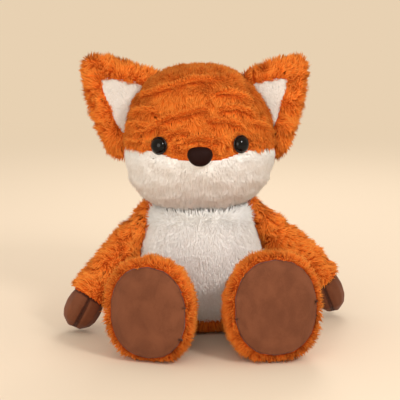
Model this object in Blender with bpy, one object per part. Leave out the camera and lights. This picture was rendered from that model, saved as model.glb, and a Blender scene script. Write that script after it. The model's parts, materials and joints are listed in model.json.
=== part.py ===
"""A seated plush fox, built the way it is sewn: fur panels round fibrefill, a stuffed neck,
folded ears, sleeves for the limbs and the tail, and safety eyes and a nose with washers.

Metres, +Z up. The fox faces -Y and sits on z = 0, with the origin under the middle of its seat.
Left and right are the fox's own, so its left side is at +X.
"""

import math

import bmesh
import bpy
from mathutils import Matrix, Vector

# Cloth and clearances
PANEL_THICKNESS = 0.0035  # fur cloth, its pile pressed down
SUEDE_THICKNESS = 0.0030  # short-pile cloth of the soles and paws
SEAM_GAP = 0.0003  # between two pieces that touch
OVERRUN = 0.010  # how far a cutter runs past what it cuts

# Head
HEAD_WIDTH = 0.143
HEAD_RISE = 0.075  # from the widest level to the crown
HEAD_DROP = 0.055  # from the widest level to the chin
HEAD_FRONT_DEPTH = 0.058
HEAD_BACK_DEPTH = 0.058
HEAD_LEVEL = 0.177  # height of the widest level
HEAD_FORWARD = 0.010  # head centre ahead of the seat's middle
HEAD_ROUNDNESS = 2.55  # at its middle: 2 is an ellipsoid, more is squarer
HEAD_SIDE_ROUNDNESS = (2.12, 2.40)  # at its sides: left, right
HEAD_SIDE_SHARE = 0.75  # where a side's own roundness starts, as a share of half the width
SNOUT_RISE = 0.009
SNOUT_HALF_WIDTH = 0.026
SNOUT_HALF_HEIGHT = 0.020
EAR_SEAM_BACK = 0.010  # the seam between face and back panel, behind the head's centre
MASK_LEVEL = 0.1790  # where the white cheeks meet the orange at the side
MASK_DIP = 0.0072  # how far the orange runs down beside the nose
MASK_DIP_HALF_WIDTH = 0.034

# Eyes and nose
EYE_SPACING = 0.0755
EYE_LEVEL = (0.1862, 0.1850)  # left, right
EYE_DIAMETER = 0.014
EYE_DOME = 0.0062
NOSE_LEVEL = 0.1768
NOSE_WIDTH = 0.0235
NOSE_HEIGHT = 0.0180
NOSE_DOME = 0.0090
POST_DIAMETER = 0.0044
POST_LENGTH = 0.0140
POST_CLEARANCE = 0.0003  # round a post, in the cloth and in a washer
WASHER_DIAMETER = 0.0150
WASHER_THICKNESS = 0.0016
WASHER_STANDOFF = 0.0024  # a flat washer inside curved cloth

# Ears
EAR_HEIGHT = 0.093
EAR_SPAN = (0.056, 0.066)  # left, right
EAR_THICKNESS = 0.012
EAR_FOOT_LEVEL = 0.1675  # lowest corner of the ear
EAR_FOOT_OUT = 0.0435  # from the head's middle to the ear's inner edge
LINING_THICKNESS = 0.0045
LINING_WIDTH = 0.020  # where it is narrow
LINING_DEEPER = 0.0010  # how far the lining lies below the rim
LINING_OUT = (0.0, 0.003)  # how far the lining lies outwards: left, right
EAR_SWING_DEG = 18.0

# Neck and body
BODY_HEIGHT = 0.1195
BODY_WIDTH = 0.128
BODY_DEPTH = 0.110
BODY_ROUNDNESS = 2.3
NECK_FORWARD = 0.006
NECK_RADIUS = 0.0325
NECK_LEVEL = 0.116  # centre of the neck's ball of fibrefill
NECK_CLEARANCE = 0.0006  # round the ball, so that its facets turn freely
COLLAR_DROP = 0.008  # from the ball's centre to the rim of the body's fibrefill
SEAT_SEAM_LEVEL = 0.016

# Arms, left and right
SHOULDER_OUT = (0.047, 0.044)
SHOULDER_LEVEL = (0.1165, 0.1145)
ARM_LENGTH = (0.146, 0.141)
ARM_HEADING_DEG = (-17.0, 25.0)  # forward of straight out
ARM_END_LEVEL = 0.0035
ARM_BOW = (0.012, 0.005)
ARM_BURIED = 0.006  # how far the arm's line starts inside the body
PAW_WIDTH = (0.0370, 0.0395)

# Legs
HIP_OUT = (0.0480, 0.0340)  # from the seat's middle to the leg's axis: left, right
HIP_DEPTH = 0.036  # the leg's axis starts this far ahead of the seat's middle
LEG_REACH = 0.148  # from the seat's middle to the sole
FOOT_OUT = (0.0680, 0.0470)  # left, right
FOOT_WIDTH = (0.081, 0.079)
FOOT_HEIGHT = (0.0965, 0.0930)
FOOT_FLAT = 0.0008  # pressed flat on the table
SOLE_LEVEL = (0.0517, 0.0465)
SOLE_YAW_DEG = (8.0, 20.0)  # turned outwards
SOLE_PITCH_DEG = (5.0, 2.0)
SOLE_CROWN = 0.0040
LEG_ROUNDNESS = 2.25

# Tail
TAIL_LENGTH = 0.140
TAIL_WIDTH = 0.062
TAIL_HEIGHT = 0.050
TAIL_BURIED = 0.012  # how far the tail's line starts inside the body
TAIL_ROOT_LEVEL = 0.030
TAIL_SIDEWAYS = 0.014
TAIL_DOWN_SHARE = 0.45  # where along its length it has come down to the table
TAIL_TIP_SHARE = 0.68  # where the white tip starts

# Outlines, as shares of the sizes above. They run from bottom to top, or from root to tip.
BODY_WIDTH_SHARES = (
    (0.0, 0.76), (0.035, 0.87), (0.10, 0.945), (0.24, 1.0), (0.41, 0.99),
    (0.635, 0.93), (0.76, 0.87), (0.885, 0.79), (1.0, 0.665),
)
BODY_DEPTH_SHARES = (
    (0.0, 0.76), (0.035, 0.87), (0.10, 0.945), (0.24, 1.0), (0.41, 1.0),
    (0.635, 0.95), (0.76, 0.895), (0.885, 0.80), (1.0, 0.685),
)
WIDEST_SHARE = 0.24  # below this share of its height the body has straight sides where limbs meet it
BODY_LEVEL_SHARES = (0.0, 0.035, 0.10, 0.20, 0.36, 0.52, 0.66, 0.79, 0.90, 1.0)
LEG_WIDTH_SHARES = (
    (-0.3, 0.51), (0.0, 0.57), (0.25, 0.66), (0.5, 0.80), (0.72, 0.965), (0.87, 1.0), (1.0, 0.965),
)
LEG_HEIGHT_SHARES = (
    (-0.3, 0.58), (0.0, 0.64), (0.25, 0.70), (0.5, 0.82), (0.72, 0.96), (0.87, 1.0), (1.0, 0.925),
)
SOLE_CROWN_SHARES = ((0.86, 0.45), (0.62, 0.80), (0.32, 0.96))
LEG_STATION_SHARES = (-0.3, 0.0, 0.25, 0.45, 0.62, 0.76, 0.87, 0.95, 1.0)
ARM_WIDTH_SHARES = (
    (0.0, 0.52), (0.1, 0.59), (0.25, 0.68), (0.45, 0.78), (0.65, 0.87), (0.77, 0.94), (0.86, 1.0),
    (0.92, 0.92), (0.965, 0.72), (1.0, 0.36),
)
ARM_STATION_SHARES = (0.0, 0.14, 0.30, 0.47, 0.63, 0.77, 0.85, 0.91, 0.955, 0.985, 1.0)
CUFF_SHARE = 0.77
TAIL_WIDTH_SHARES = (
    (0.0, 0.34), (0.14, 0.50), (0.32, 0.76), (0.50, 0.96),
    (0.62, 1.0), (0.78, 0.86), (0.91, 0.54), (1.0, 0.14),
)
TAIL_HEIGHT_SHARES = (
    (0.0, 0.40), (0.14, 0.56), (0.32, 0.80), (0.50, 0.97),
    (0.62, 1.0), (0.78, 0.86), (0.91, 0.54), (1.0, 0.14),
)
TAIL_STATION_SHARES = (0.0, 0.12, 0.25, 0.38, 0.50, 0.60, 0.70, 0.80, 0.89, 0.96, 1.0)
# The ear, outwards and upwards from its lowest inner corner, as shares of its span and height
EAR_OUTLINE_SHARES = (
    (0.54, 0.0), (0.64, 0.06), (0.73, 0.17), (0.82, 0.33), (0.90, 0.50), (0.965, 0.68), (1.0, 0.86),
    (0.99, 0.95), (0.93, 1.0), (0.82, 1.0), (0.62, 0.975), (0.40, 0.93), (0.20, 0.88), (0.0, 0.84),
    (-0.05, 0.50), (0.13, 0.20), (0.34, 0.04),
)
EAR_TOP_CORNER_SHARES = (0.0, 0.84)
LINING_OUTLINE_SHARES = (
    (0.44, 0.22), (0.53, 0.33), (0.61, 0.48), (0.70, 0.64), (0.755, 0.77), (0.71, 0.81),
    (0.50, 0.795), (0.30, 0.775), (0.10, 0.74), (0.05, 0.55), (0.23, 0.33),
)
# The ear's rounded edge from front to back, as shares of half its thickness and of its outline
EAR_EDGE_SHARES = ((-1.0, 0.84), (-0.72, 0.95), (-0.2, 1.0), (0.4, 0.985), (0.82, 0.93), (1.0, 0.82))
# The nose, a triangle with round corners that points down
NOSE_OUTLINE_SHARES = (
    (0.0, -1.0), (0.38, -0.82), (0.76, -0.40), (0.96, 0.0), (1.0, 0.34), (0.84, 0.76), (0.44, 0.96),
    (0.0, 1.0), (-0.44, 0.96), (-0.84, 0.76), (-1.0, 0.34), (-0.96, 0.0), (-0.76, -0.40), (-0.38, -0.82),
)

# The nose's dome from its rim to its top, as shares of its outline and of its height
NOSE_DOME_SHARES = ((0.90, 0.0), (1.0, 0.22), (0.93, 0.50), (0.74, 0.78), (0.42, 0.95))
EYE_DOME_DEG = (0, 22, 44, 66)  # the rings of the eye's dome, up from its rim

# How finely round forms are divided
HEAD_SIDES, HEAD_RINGS = 24, 13
ROUNDNESS_STEPS = 5  # passes that settle how round the head is along a ray
MASK_STEPS = 22
BODY_SIDES, BODY_CORE_SIDES = 22, 18
LEG_SIDES, LEG_CORE_SIDES = 18, 14
ARM_SIDES, ARM_CORE_SIDES = 12, 10
TAIL_SIDES = 12
NECK_SIDES, NECK_RINGS = 28, 14
EYE_SIDES, POST_SIDES, WASHER_SIDES = 14, 8, 14

BOW_PEAK = 4 / 27  # the most that t * t * (1 - t) comes to
LEFT, RIGHT = 0, 1
SIDE_NAMES = ("left", "right")
SIGNS = (1.0, -1.0)
COLOURS = {
    "orange_fur": ((0.72, 0.21, 0.03), 0.9),
    "white_fur": ((0.86, 0.82, 0.77), 0.9),
    "brown_suede": ((0.18, 0.075, 0.035), 0.85),
    "fibrefill": ((0.92, 0.92, 0.90), 1.0),
    "eye_plastic": ((0.006, 0.006, 0.007), 0.05),
    "nose_flock": ((0.035, 0.012, 0.010), 0.6),
    "washer_plastic": ((0.75, 0.75, 0.72), 0.5),
}
X, Y, Z = Vector((1, 0, 0)), Vector((0, 1, 0)), Vector((0, 0, 1))


def clear_scene():
    for obj in list(bpy.data.objects):
        bpy.data.objects.remove(obj)


def material(name):
    """The named finish, made once."""
    found = bpy.data.materials.get(name)
    if found:
        return found
    colour, roughness = COLOURS[name]
    made = bpy.data.materials.new(name)
    made.use_nodes = True
    shader = made.node_tree.nodes["Principled BSDF"]
    shader.inputs["Base Color"].default_value = (*colour, 1.0)
    shader.inputs["Roughness"].default_value = roughness
    return made


def object_of(name, points, faces, finish=None):
    """A closed mesh object whose faces point out."""
    mesh = bpy.data.meshes.new(name)
    mesh.from_pydata([tuple(p) for p in points], [], faces)
    work = bmesh.new()
    work.from_mesh(mesh)
    bmesh.ops.recalc_face_normals(work, faces=work.faces)
    work.to_mesh(mesh)
    work.free()
    obj = bpy.data.objects.new(name, mesh)
    bpy.context.scene.collection.objects.link(obj)
    if finish:
        dress(obj, finish)
    return obj


def dress(obj, finish):
    """Gives an object its finish and smooth shading."""
    obj.data.materials.clear()
    obj.data.materials.append(material(finish))
    obj.data.shade_smooth()
    obj.data.set_sharp_from_angle(angle=math.radians(50))


def copy_of(obj, name):
    made = bpy.data.objects.new(name, obj.data.copy())
    bpy.context.scene.collection.objects.link(made)
    return made


def combine(target, tool, operation, keep_tool=False):
    """Cuts or joins target with tool for good, and drops the tool."""
    modifier = target.modifiers.new("cut", "BOOLEAN")
    modifier.operation = operation
    modifier.solver = "EXACT"
    modifier.object = tool
    bpy.context.view_layer.update()
    graph = bpy.context.evaluated_depsgraph_get()
    result = bpy.data.meshes.new_from_object(target.evaluated_get(graph))
    target.modifiers.clear()
    target.data = result
    if not keep_tool:
        bpy.data.objects.remove(tool)
    return target


def cut(target, tool, keep_tool=False):
    return combine(target, tool, "DIFFERENCE", keep_tool)


def keep(target, region):
    return combine(target, region, "INTERSECT")


def between(table, t):
    """The value at t on a smooth curve through a table's (t, value) rows."""
    last = len(table) - 2
    k = max(0, min(last, sum(1 for row in table if row[0] <= t) - 1))
    (t1, v1), (t2, v2) = table[k], table[k + 1]
    v0 = table[k - 1][1] if k else v1
    t0 = table[k - 1][0] if k else t1 - (t2 - t1)
    v3 = table[k + 2][1] if k < last else v2
    t3 = table[k + 2][0] if k < last else t2 + (t2 - t1)
    slope1 = (v2 - v0) / (t2 - t0) * (t2 - t1)
    slope2 = (v3 - v1) / (t3 - t1) * (t2 - t1)
    s = (t - t1) / (t2 - t1)
    rise = v2 - v1
    return v1 + s * (slope1 + s * (3 * rise - 2 * slope1 - slope2 + s * (slope1 + slope2 - 2 * rise)))


def ease(t):
    """0 before 0, 1 after 1, smooth between."""
    t = max(0.0, min(1.0, t))
    return t * t * (3 - 2 * t)


def signed_power(value, power):
    return math.copysign(abs(value) ** power, value)


def ring(centre, across, upward, half_across, half_up, roundness, sides, floor=None):
    """Points round a superellipse. No point lies below floor."""
    points = []
    for k in range(sides):
        angle = 2 * math.pi * (k + 0.5) / sides
        u = signed_power(math.cos(angle), 2 / roundness) * half_across
        v = signed_power(math.sin(angle), 2 / roundness) * half_up
        point = centre + across * u + upward * v
        if floor is not None:
            point.z = max(point.z, floor)
        points.append(point)
    return points


def loft(name, rings, finish=None, start=None, end=None):
    """A closed solid through rings of equally many points, with a point in the middle of each end.

    All its faces are triangles, split the same way, so that nested forms stay clear of each other.
    """
    sides = len(rings[0])
    points = [p for r in rings for p in r]
    faces = []
    for k in range(len(rings) - 1):
        for i in range(sides):
            a, b = k * sides + i, k * sides + (i + 1) % sides
            faces += [(a, b, b + sides), (a, b + sides, a + sides)]
    for row, middle in ((0, start), (len(rings) - 1, end)):
        if middle is None:
            middle = sum(rings[row], Vector()) / sides
        points.append(middle)
        for i in range(sides):
            faces.append((row * sides + i, row * sides + (i + 1) % sides, len(points) - 1))
    return object_of(name, points, faces, finish)


def box(name, low, high):
    """A block between two corners, as a cutter."""
    corners = [(x, y, z) for x in (low[0], high[0]) for y in (low[1], high[1]) for z in (low[2], high[2])]
    faces = [(0, 1, 3, 2), (4, 6, 7, 5), (0, 4, 5, 1), (2, 3, 7, 6), (0, 2, 6, 4), (1, 5, 7, 3)]
    return object_of(name, corners, faces)


def prism(name, outline, near, far, finish=None):
    """An outline of (x, z) pairs run from y = near to y = far."""
    count = len(outline)
    points = [Vector((x, near, z)) for x, z in outline] + [Vector((x, far, z)) for x, z in outline]
    faces = [tuple(range(count)), tuple(range(count, 2 * count))]
    faces += [(i, (i + 1) % count, count + (i + 1) % count, count + i) for i in range(count)]
    return object_of(name, points, faces, finish)


def half_space(name, point, normal, reach):
    """A block that fills the side of a plane that normal points to."""
    made = box(name, (-reach, -reach, 0.0), (reach, reach, reach))
    turn = Z.rotation_difference(normal).to_matrix().to_4x4()
    made.data.transform(Matrix.Translation(point) @ turn)
    return made


def turned(name, profile, place, axis, sides, finish=None):
    """A solid turned from (radius, height) pairs round an axis, closed at both ends on the axis."""
    rings = []
    for radius, height in profile[1:-1]:
        circle = [(2 * math.pi * k / sides) for k in range(sides)]
        rings.append([Vector((radius * math.cos(a), radius * math.sin(a), height)) for a in circle])
    ends = [Vector((0, 0, profile[k][1])) for k in (0, -1)]
    made = loft(name, rings, finish, *ends)
    turn = Z.rotation_difference(axis).to_matrix().to_4x4()
    made.data.transform(Matrix.Translation(place) @ turn)
    return made


# Head

HEAD_CENTRE = Vector((0.0, -HEAD_FORWARD, HEAD_LEVEL))


def head_halves(direction, inset):
    """The head's half sizes on the side that direction points to."""
    depth = HEAD_FRONT_DEPTH if direction.y < 0 else HEAD_BACK_DEPTH
    height = HEAD_RISE if direction.z > 0 else HEAD_DROP
    return (HEAD_WIDTH / 2 - inset, depth - inset, height - inset)


def snout(x, z):
    """How far the snout stands out of the face there."""
    across, up = x / SNOUT_HALF_WIDTH, (z - NOSE_LEVEL) / SNOUT_HALF_HEIGHT
    return SNOUT_RISE * math.exp(-across * across - up * up)


def head_roundness(x):
    """How round the head is at x, from its middle out to its own left or right side."""
    side = HEAD_SIDE_ROUNDNESS[LEFT if x > 0 else RIGHT]
    share = min(1.0, abs(x) / (HEAD_WIDTH / 2 * HEAD_SIDE_SHARE))
    return HEAD_ROUNDNESS + (side - HEAD_ROUNDNESS) * ease(share)


def head_point(direction, inset):
    """Where a ray from the head's centre meets the head's surface, inset into the cloth."""
    halves = head_halves(direction, inset)
    reach = halves[0]
    for _ in range(ROUNDNESS_STEPS):
        power = head_roundness(direction.x * reach)
        reach = sum(abs(direction[i] / halves[i]) ** power for i in range(3)) ** (-1 / power)
    point = HEAD_CENTRE + direction * reach
    if direction.y < 0:
        point.y -= snout(point.x, point.z) * min(1.0, -3 * direction.y)
    return point


def face_point(x, z):
    """The point of the face's surface ahead of (x, z)."""
    direction = Vector((x, -1.0, z - HEAD_LEVEL))
    halves = head_halves(direction, 0.0)
    power = head_roundness(x)
    flat = sum(abs((x, z - HEAD_LEVEL)[i] / (halves[0], halves[2])[i]) ** power for i in (0, 1))
    depth = halves[1] * (1 - flat) ** (1 / power)
    return Vector((x, HEAD_CENTRE.y - depth - snout(x, z), z))


def face_normal(x, z):
    """The way the face looks at (x, z), read from its own surface."""
    step = EYE_DIAMETER / 2
    across = face_point(x + step, z) - face_point(x - step, z)
    up = face_point(x, z + step) - face_point(x, z - step)
    return across.cross(up).normalized()


def head_form(name, inset):
    """The head's round form, inset into the cloth."""
    rows = []
    around = [2 * math.pi * (i + 0.5) / HEAD_SIDES for i in range(HEAD_SIDES)]
    for k in range(1, HEAD_RINGS):
        polar = math.pi * k / HEAD_RINGS
        out, up = math.sin(polar), math.cos(polar)
        directions = [Vector((out * math.cos(a), out * math.sin(a), up)) for a in around]
        rows.append([head_point(direction, inset) for direction in directions])
    return loft(name, rows, None, head_point(Z, inset), head_point(-Z, inset))


def neck_ball(name, grow=0.0, finish=None):
    """The ball of fibrefill in the neck, on which head and body seat."""
    centre = neck_centre()
    radius = NECK_RADIUS + grow
    rows = []
    for k in range(1, NECK_RINGS):
        polar = math.pi * k / NECK_RINGS
        level = centre + Z * (radius * math.cos(polar))
        rows.append(ring(level, X, Y, radius * math.sin(polar), radius * math.sin(polar), 2.0, NECK_SIDES))
    return loft(name, rows, finish, centre + Z * radius, centre - Z * radius)


def neck_centre():
    return Vector((0.0, -NECK_FORWARD, NECK_LEVEL))


def mask_level(x):
    """Height of the seam between the orange face and the white cheeks."""
    return MASK_LEVEL - MASK_DIP * math.exp(-((x / MASK_DIP_HALF_WIDTH) ** 4))


def mask_line(reach, shift):
    """Points (x, z) along the mask's seam from side to side, moved up by shift."""
    count = 2 * MASK_STEPS
    across = [reach * (2 * k / count - 1) for k in range(count + 1)]
    return [(x, mask_level(x) + shift) for x in across]


def head_panels():
    """Face, two cheeks and back, cut from one shell along its seams."""
    reach = HEAD_WIDTH
    low, high = HEAD_LEVEL - reach, HEAD_LEVEL + reach
    seam = HEAD_CENTRE.y + EAR_SEAM_BACK
    gap = SEAM_GAP / 2
    shell = head_form("shell", 0.0)
    cut(shell, head_form("hollow", PANEL_THICKNESS))
    cut(shell, neck_ball("neck_hole", NECK_CLEARANCE))
    front = (seam - gap - reach, seam - gap)
    above, below = mask_line(reach, gap), mask_line(reach, -gap)
    left_line, right_line = below[MASK_STEPS + 1 :], below[:MASK_STEPS]
    middle = below[MASK_STEPS][1]
    regions = {
        "head_face_panel": (above + [(reach, high), (-reach, high)], "orange_fur"),
        "cheek_left": ([(gap, low), (gap, middle)] + left_line + [(reach, low)], "white_fur"),
        "cheek_right": ([(-gap, low), (-reach, low)] + right_line + [(-gap, middle)], "white_fur"),
    }
    panels = {}
    for name, (outline, finish) in regions.items():
        panels[name] = keep(copy_of(shell, name), prism("region", outline, *front))
        dress(panels[name], finish)
    behind = box("region", (-reach, seam + gap, low), (reach, seam + reach, high))
    dress(keep(copy_of(shell, "head_back_panel"), behind), "orange_fur")
    bpy.data.objects.remove(shell)
    return panels


def eye(side):
    """A safety eye, a glossy dome on a post."""
    name = SIDE_NAMES[side]
    x, z = SIGNS[side] * EYE_SPACING / 2, EYE_LEVEL[side]
    place, axis = face_point(x, z), face_normal(x, z)
    radius = EYE_DIAMETER / 2
    angles = [math.radians(a) for a in EYE_DOME_DEG]
    dome = [(radius * math.cos(a), SEAM_GAP + EYE_DOME * math.sin(a)) for a in angles]
    post = [(0.0, -POST_LENGTH), (POST_DIAMETER / 2, -POST_LENGTH), (POST_DIAMETER / 2, SEAM_GAP)]
    profile = post + dome + [(0.0, SEAM_GAP + EYE_DOME)]
    turned(f"eye_{name}", profile, place, axis, EYE_SIDES, "eye_plastic")
    washer(f"eye_washer_{name}", place, axis)
    return place, axis


def washer(name, place, axis):
    """The locking washer that holds an eye or the nose from inside the cloth."""
    top = -PANEL_THICKNESS - WASHER_STANDOFF
    low, outer = top - WASHER_THICKNESS, WASHER_DIAMETER / 2
    disc = turned(name, [(0.0, low), (outer, low), (outer, top), (0.0, top)], place, axis, WASHER_SIDES)
    bore = POST_DIAMETER / 2 + POST_CLEARANCE
    past_low, past_top = low - OVERRUN, top + OVERRUN
    through = [(0.0, past_low), (bore, past_low), (bore, past_top), (0.0, past_top)]
    dress(cut(disc, turned("hole", through, place, axis, POST_SIDES)), "washer_plastic")


def nose():
    """A flocked nose, a domed triangle on a post."""
    place, axis = face_point(0.0, NOSE_LEVEL), face_normal(0.0, NOSE_LEVEL)
    half_width, half_height = NOSE_WIDTH / 2, NOSE_HEIGHT / 2
    rings = []
    for share, height_share in NOSE_DOME_SHARES:
        level = SEAM_GAP + NOSE_DOME * height_share
        wide, high = half_width * share, half_height * share
        rings.append([Vector((u * wide, level, v * high)) for u, v in NOSE_OUTLINE_SHARES])
    top = Vector((0.0, SEAM_GAP + NOSE_DOME, 0.0))
    dome = loft("nose", rings, None, None, top)
    turn = Matrix((-X, axis, axis.cross(X))).transposed().to_4x4()
    dome.data.transform(Matrix.Translation(place) @ turn)
    inside = SEAM_GAP + NOSE_DOME / 2
    radius = POST_DIAMETER / 2
    profile = [(0.0, -POST_LENGTH), (radius, -POST_LENGTH), (radius, inside), (0.0, inside)]
    dress(combine(dome, turned("post", profile, place, axis, POST_SIDES), "UNION"), "nose_flock")
    washer("nose_washer", place, axis)
    return place, axis


def head():
    panels = head_panels()
    core = head_form("head_stuffing", PANEL_THICKNESS + SEAM_GAP)
    cut(core, neck_ball("neck_hole", NECK_CLEARANCE))
    bore = POST_DIAMETER / 2 + POST_CLEARANCE
    pocket = WASHER_DIAMETER / 2 + SEAM_GAP
    depth = POST_LENGTH + SEAM_GAP
    for place, axis in (eye(LEFT), eye(RIGHT), nose()):
        hole = [(0.0, -depth), (bore, -depth), (bore, OVERRUN), (0.0, OVERRUN)]
        for panel in panels.values():
            cut(panel, turned("hole", hole, place, axis, POST_SIDES))
        sunk = [(0.0, -depth), (pocket, -depth), (pocket, OVERRUN), (0.0, OVERRUN)]
        cut(core, turned("pocket", sunk, place, axis, WASHER_SIDES))
    dress(core, "fibrefill")
    for name, panel in panels.items():
        dress(panel, "orange_fur" if name == "head_face_panel" else "white_fur")


# Ears

def ear_axis(side):
    """Two points of the seam that the ear folds on, at the ear's lowest and highest inner corner."""
    sign = SIGNS[side]
    seam = HEAD_CENTRE.y + EAR_SEAM_BACK
    (foot_share, _), (_, top_share) = EAR_OUTLINE_SHARES[0], EAR_TOP_CORNER_SHARES
    foot = Vector((sign * (EAR_FOOT_OUT + EAR_SPAN[side] * foot_share), seam, EAR_FOOT_LEVEL))
    top = Vector((sign * EAR_FOOT_OUT, seam, EAR_FOOT_LEVEL + EAR_HEIGHT * top_share))
    return foot, top


def ear_outline(side, shares, grow, out=0.0):
    """An outline of the ear as (x, z) pairs, moved outwards and scaled about its middle by grow."""
    inner = EAR_FOOT_OUT + out
    places = [(inner + u * EAR_SPAN[side], EAR_FOOT_LEVEL + v * EAR_HEIGHT) for u, v in shares]
    middle_x, middle_z = (sum(p[i] for p in places) / len(places) for i in (0, 1))
    return [
        (SIGNS[side] * (middle_x + (x - middle_x) * grow), middle_z + (z - middle_z) * grow)
        for x, z in places
    ]


def ear(side):
    """A folded fur rim with a white lining let into its front, its root cut to the head and free to fold."""
    name = SIDE_NAMES[side]
    seam = HEAD_CENTRE.y + EAR_SEAM_BACK
    half = EAR_THICKNESS / 2
    rings = []
    for depth_share, grow in EAR_EDGE_SHARES:
        y = seam + depth_share * half
        rings.append([Vector((x, y, z)) for x, z in ear_outline(side, EAR_OUTLINE_SHARES, grow)])
    rim = loft(f"ear_{name}_shell", rings)
    front = seam - half
    back = front + LINING_DEEPER + LINING_THICKNESS
    out = LINING_OUT[side]
    cut(rim, prism("recess", ear_outline(side, LINING_OUTLINE_SHARES, 1.0, out), front - OVERRUN, back))
    fit = 1 - 2 * SEAM_GAP / LINING_WIDTH
    outline = ear_outline(side, LINING_OUTLINE_SHARES, fit, out)
    lining = prism(f"ear_{name}_lining", outline, front + LINING_DEEPER, back - SEAM_GAP)
    foot, top = ear_axis(side)
    axis = (top - foot).normalized()
    swept = head_form("head_cutter", -2 * SEAM_GAP)
    for swing in (-EAR_SWING_DEG, EAR_SWING_DEG):
        tool = head_form("head_cutter", -2 * SEAM_GAP)
        turn = Matrix.Rotation(math.radians(swing), 4, axis)
        tool.data.transform(Matrix.Translation(foot) @ turn @ Matrix.Translation(-foot))
        combine(swept, tool, "UNION")
    dress(cut(rim, swept, keep_tool=True), "orange_fur")
    dress(cut(lining, swept), "white_fur")


# Body

def body_section(z, inset, skirt_share=0.0):
    """Centre and half sizes of the body at height z, inset into the cloth.

    Below skirt_share of its height it keeps the width that it has there.
    """
    level_share = max(skirt_share, z / BODY_HEIGHT)
    half_width = BODY_WIDTH / 2 * between(BODY_WIDTH_SHARES, level_share) - inset
    half_depth = BODY_DEPTH / 2 * between(BODY_DEPTH_SHARES, level_share) - inset
    return Vector((0.0, -NECK_FORWARD * z / BODY_HEIGHT, z)), half_width, half_depth


def body_form(name, inset, sides, past=0.0, skirt_share=0.0):
    """The pear of the body, inset into the cloth, on its flat seat. It can run on past the neck."""
    rings = []
    for share in BODY_LEVEL_SHARES:
        z = inset + (BODY_HEIGHT - inset) * share
        centre, half_width, half_depth = body_section(z, inset, skirt_share)
        rings.append(ring(centre, X, Y, half_width, half_depth, BODY_ROUNDNESS, sides))
    if past:
        rings.append([p + Z * past for p in rings[-1]])
    return loft(name, rings)


def body():
    """Belly, back and seat panels round the body's fibrefill."""
    reach = BODY_WIDTH
    gap = SEAM_GAP / 2
    shell = body_form("shell", 0.0, BODY_SIDES)
    cut(shell, body_form("hollow", PANEL_THICKNESS, BODY_CORE_SIDES, OVERRUN))
    cut(shell, neck_ball("neck_hole", NECK_CLEARANCE))
    level = SEAT_SEAM_LEVEL
    regions = {
        "belly_panel": ((-reach, -reach, level + gap), (reach, -gap, BODY_HEIGHT + reach), "white_fur"),
        "back_panel": ((-reach, gap, level + gap), (reach, reach, BODY_HEIGHT + reach), "orange_fur"),
        "seat_panel": ((-reach, -reach, -reach), (reach, reach, level - gap), "orange_fur"),
    }
    for name, (low, high, finish) in regions.items():
        dress(keep(copy_of(shell, name), box("region", low, high)), finish)
    bpy.data.objects.remove(shell)
    core = body_form("body_stuffing", PANEL_THICKNESS + SEAM_GAP, BODY_CORE_SIDES)
    cut(core, half_space("collar", Z * (NECK_LEVEL - COLLAR_DROP), Z, reach))
    dress(cut(core, neck_ball("neck_hole", NECK_CLEARANCE)), "fibrefill")
    neck_ball("neck_stuffing", 0.0, "fibrefill")


# Arms

def arm_ends(side):
    """Both ends of the arm's line. The paw rests on the table."""
    heading = math.radians(ARM_HEADING_DEG[side])
    out = Vector((SIGNS[side] * math.cos(heading), -math.sin(heading), 0.0))
    drop = SHOULDER_LEVEL[side] - ARM_END_LEVEL
    reach = math.sqrt(ARM_LENGTH[side] ** 2 - drop**2)
    shoulder = Vector((SIGNS[side] * SHOULDER_OUT[side], -NECK_FORWARD / 2, SHOULDER_LEVEL[side]))
    end = shoulder + out * reach - Z * drop
    return shoulder - (end - shoulder).normalized() * ARM_BURIED, end


def arm_station(side, t):
    """Centre and tangent at share t of the arm's line, which bows upwards and outwards past its middle."""
    start, end = arm_ends(side)
    along = end - start
    bow = along.cross(Z).cross(along).normalized() * ARM_BOW[side]
    rise, slope = t * t * (1 - t), t * (2 - 3 * t)
    centre = start + along * t + bow * (rise / BOW_PEAK)
    return centre, (along + bow * (slope / BOW_PEAK)).normalized()


def arm_form(name, side, inset, sides):
    """The arm's round form with its paw, inset into the cloth."""
    rings = []
    for t in ARM_STATION_SHARES:
        pulled = t + inset / ARM_LENGTH[side] * (1 - 2 * t)
        centre, tangent = arm_station(side, pulled)
        half = max(PAW_WIDTH[side] / 2 * between(ARM_WIDTH_SHARES, t) - inset, PANEL_THICKNESS / 2)
        across = tangent.cross(Y).normalized()
        upward = across.cross(tangent).normalized()
        rings.append(ring(centre, across, upward, half, half, 2.0, sides, inset))
    return loft(name, rings)


def cuff_cutter(side, sign, gap):
    """A block past the cuff on the paw's side (sign 1) or on the sleeve's side (sign -1)."""
    centre, tangent = arm_station(side, CUFF_SHARE)
    return half_space("cuff_cutter", centre + tangent * (sign * gap), tangent * sign, ARM_LENGTH[side])


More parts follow.
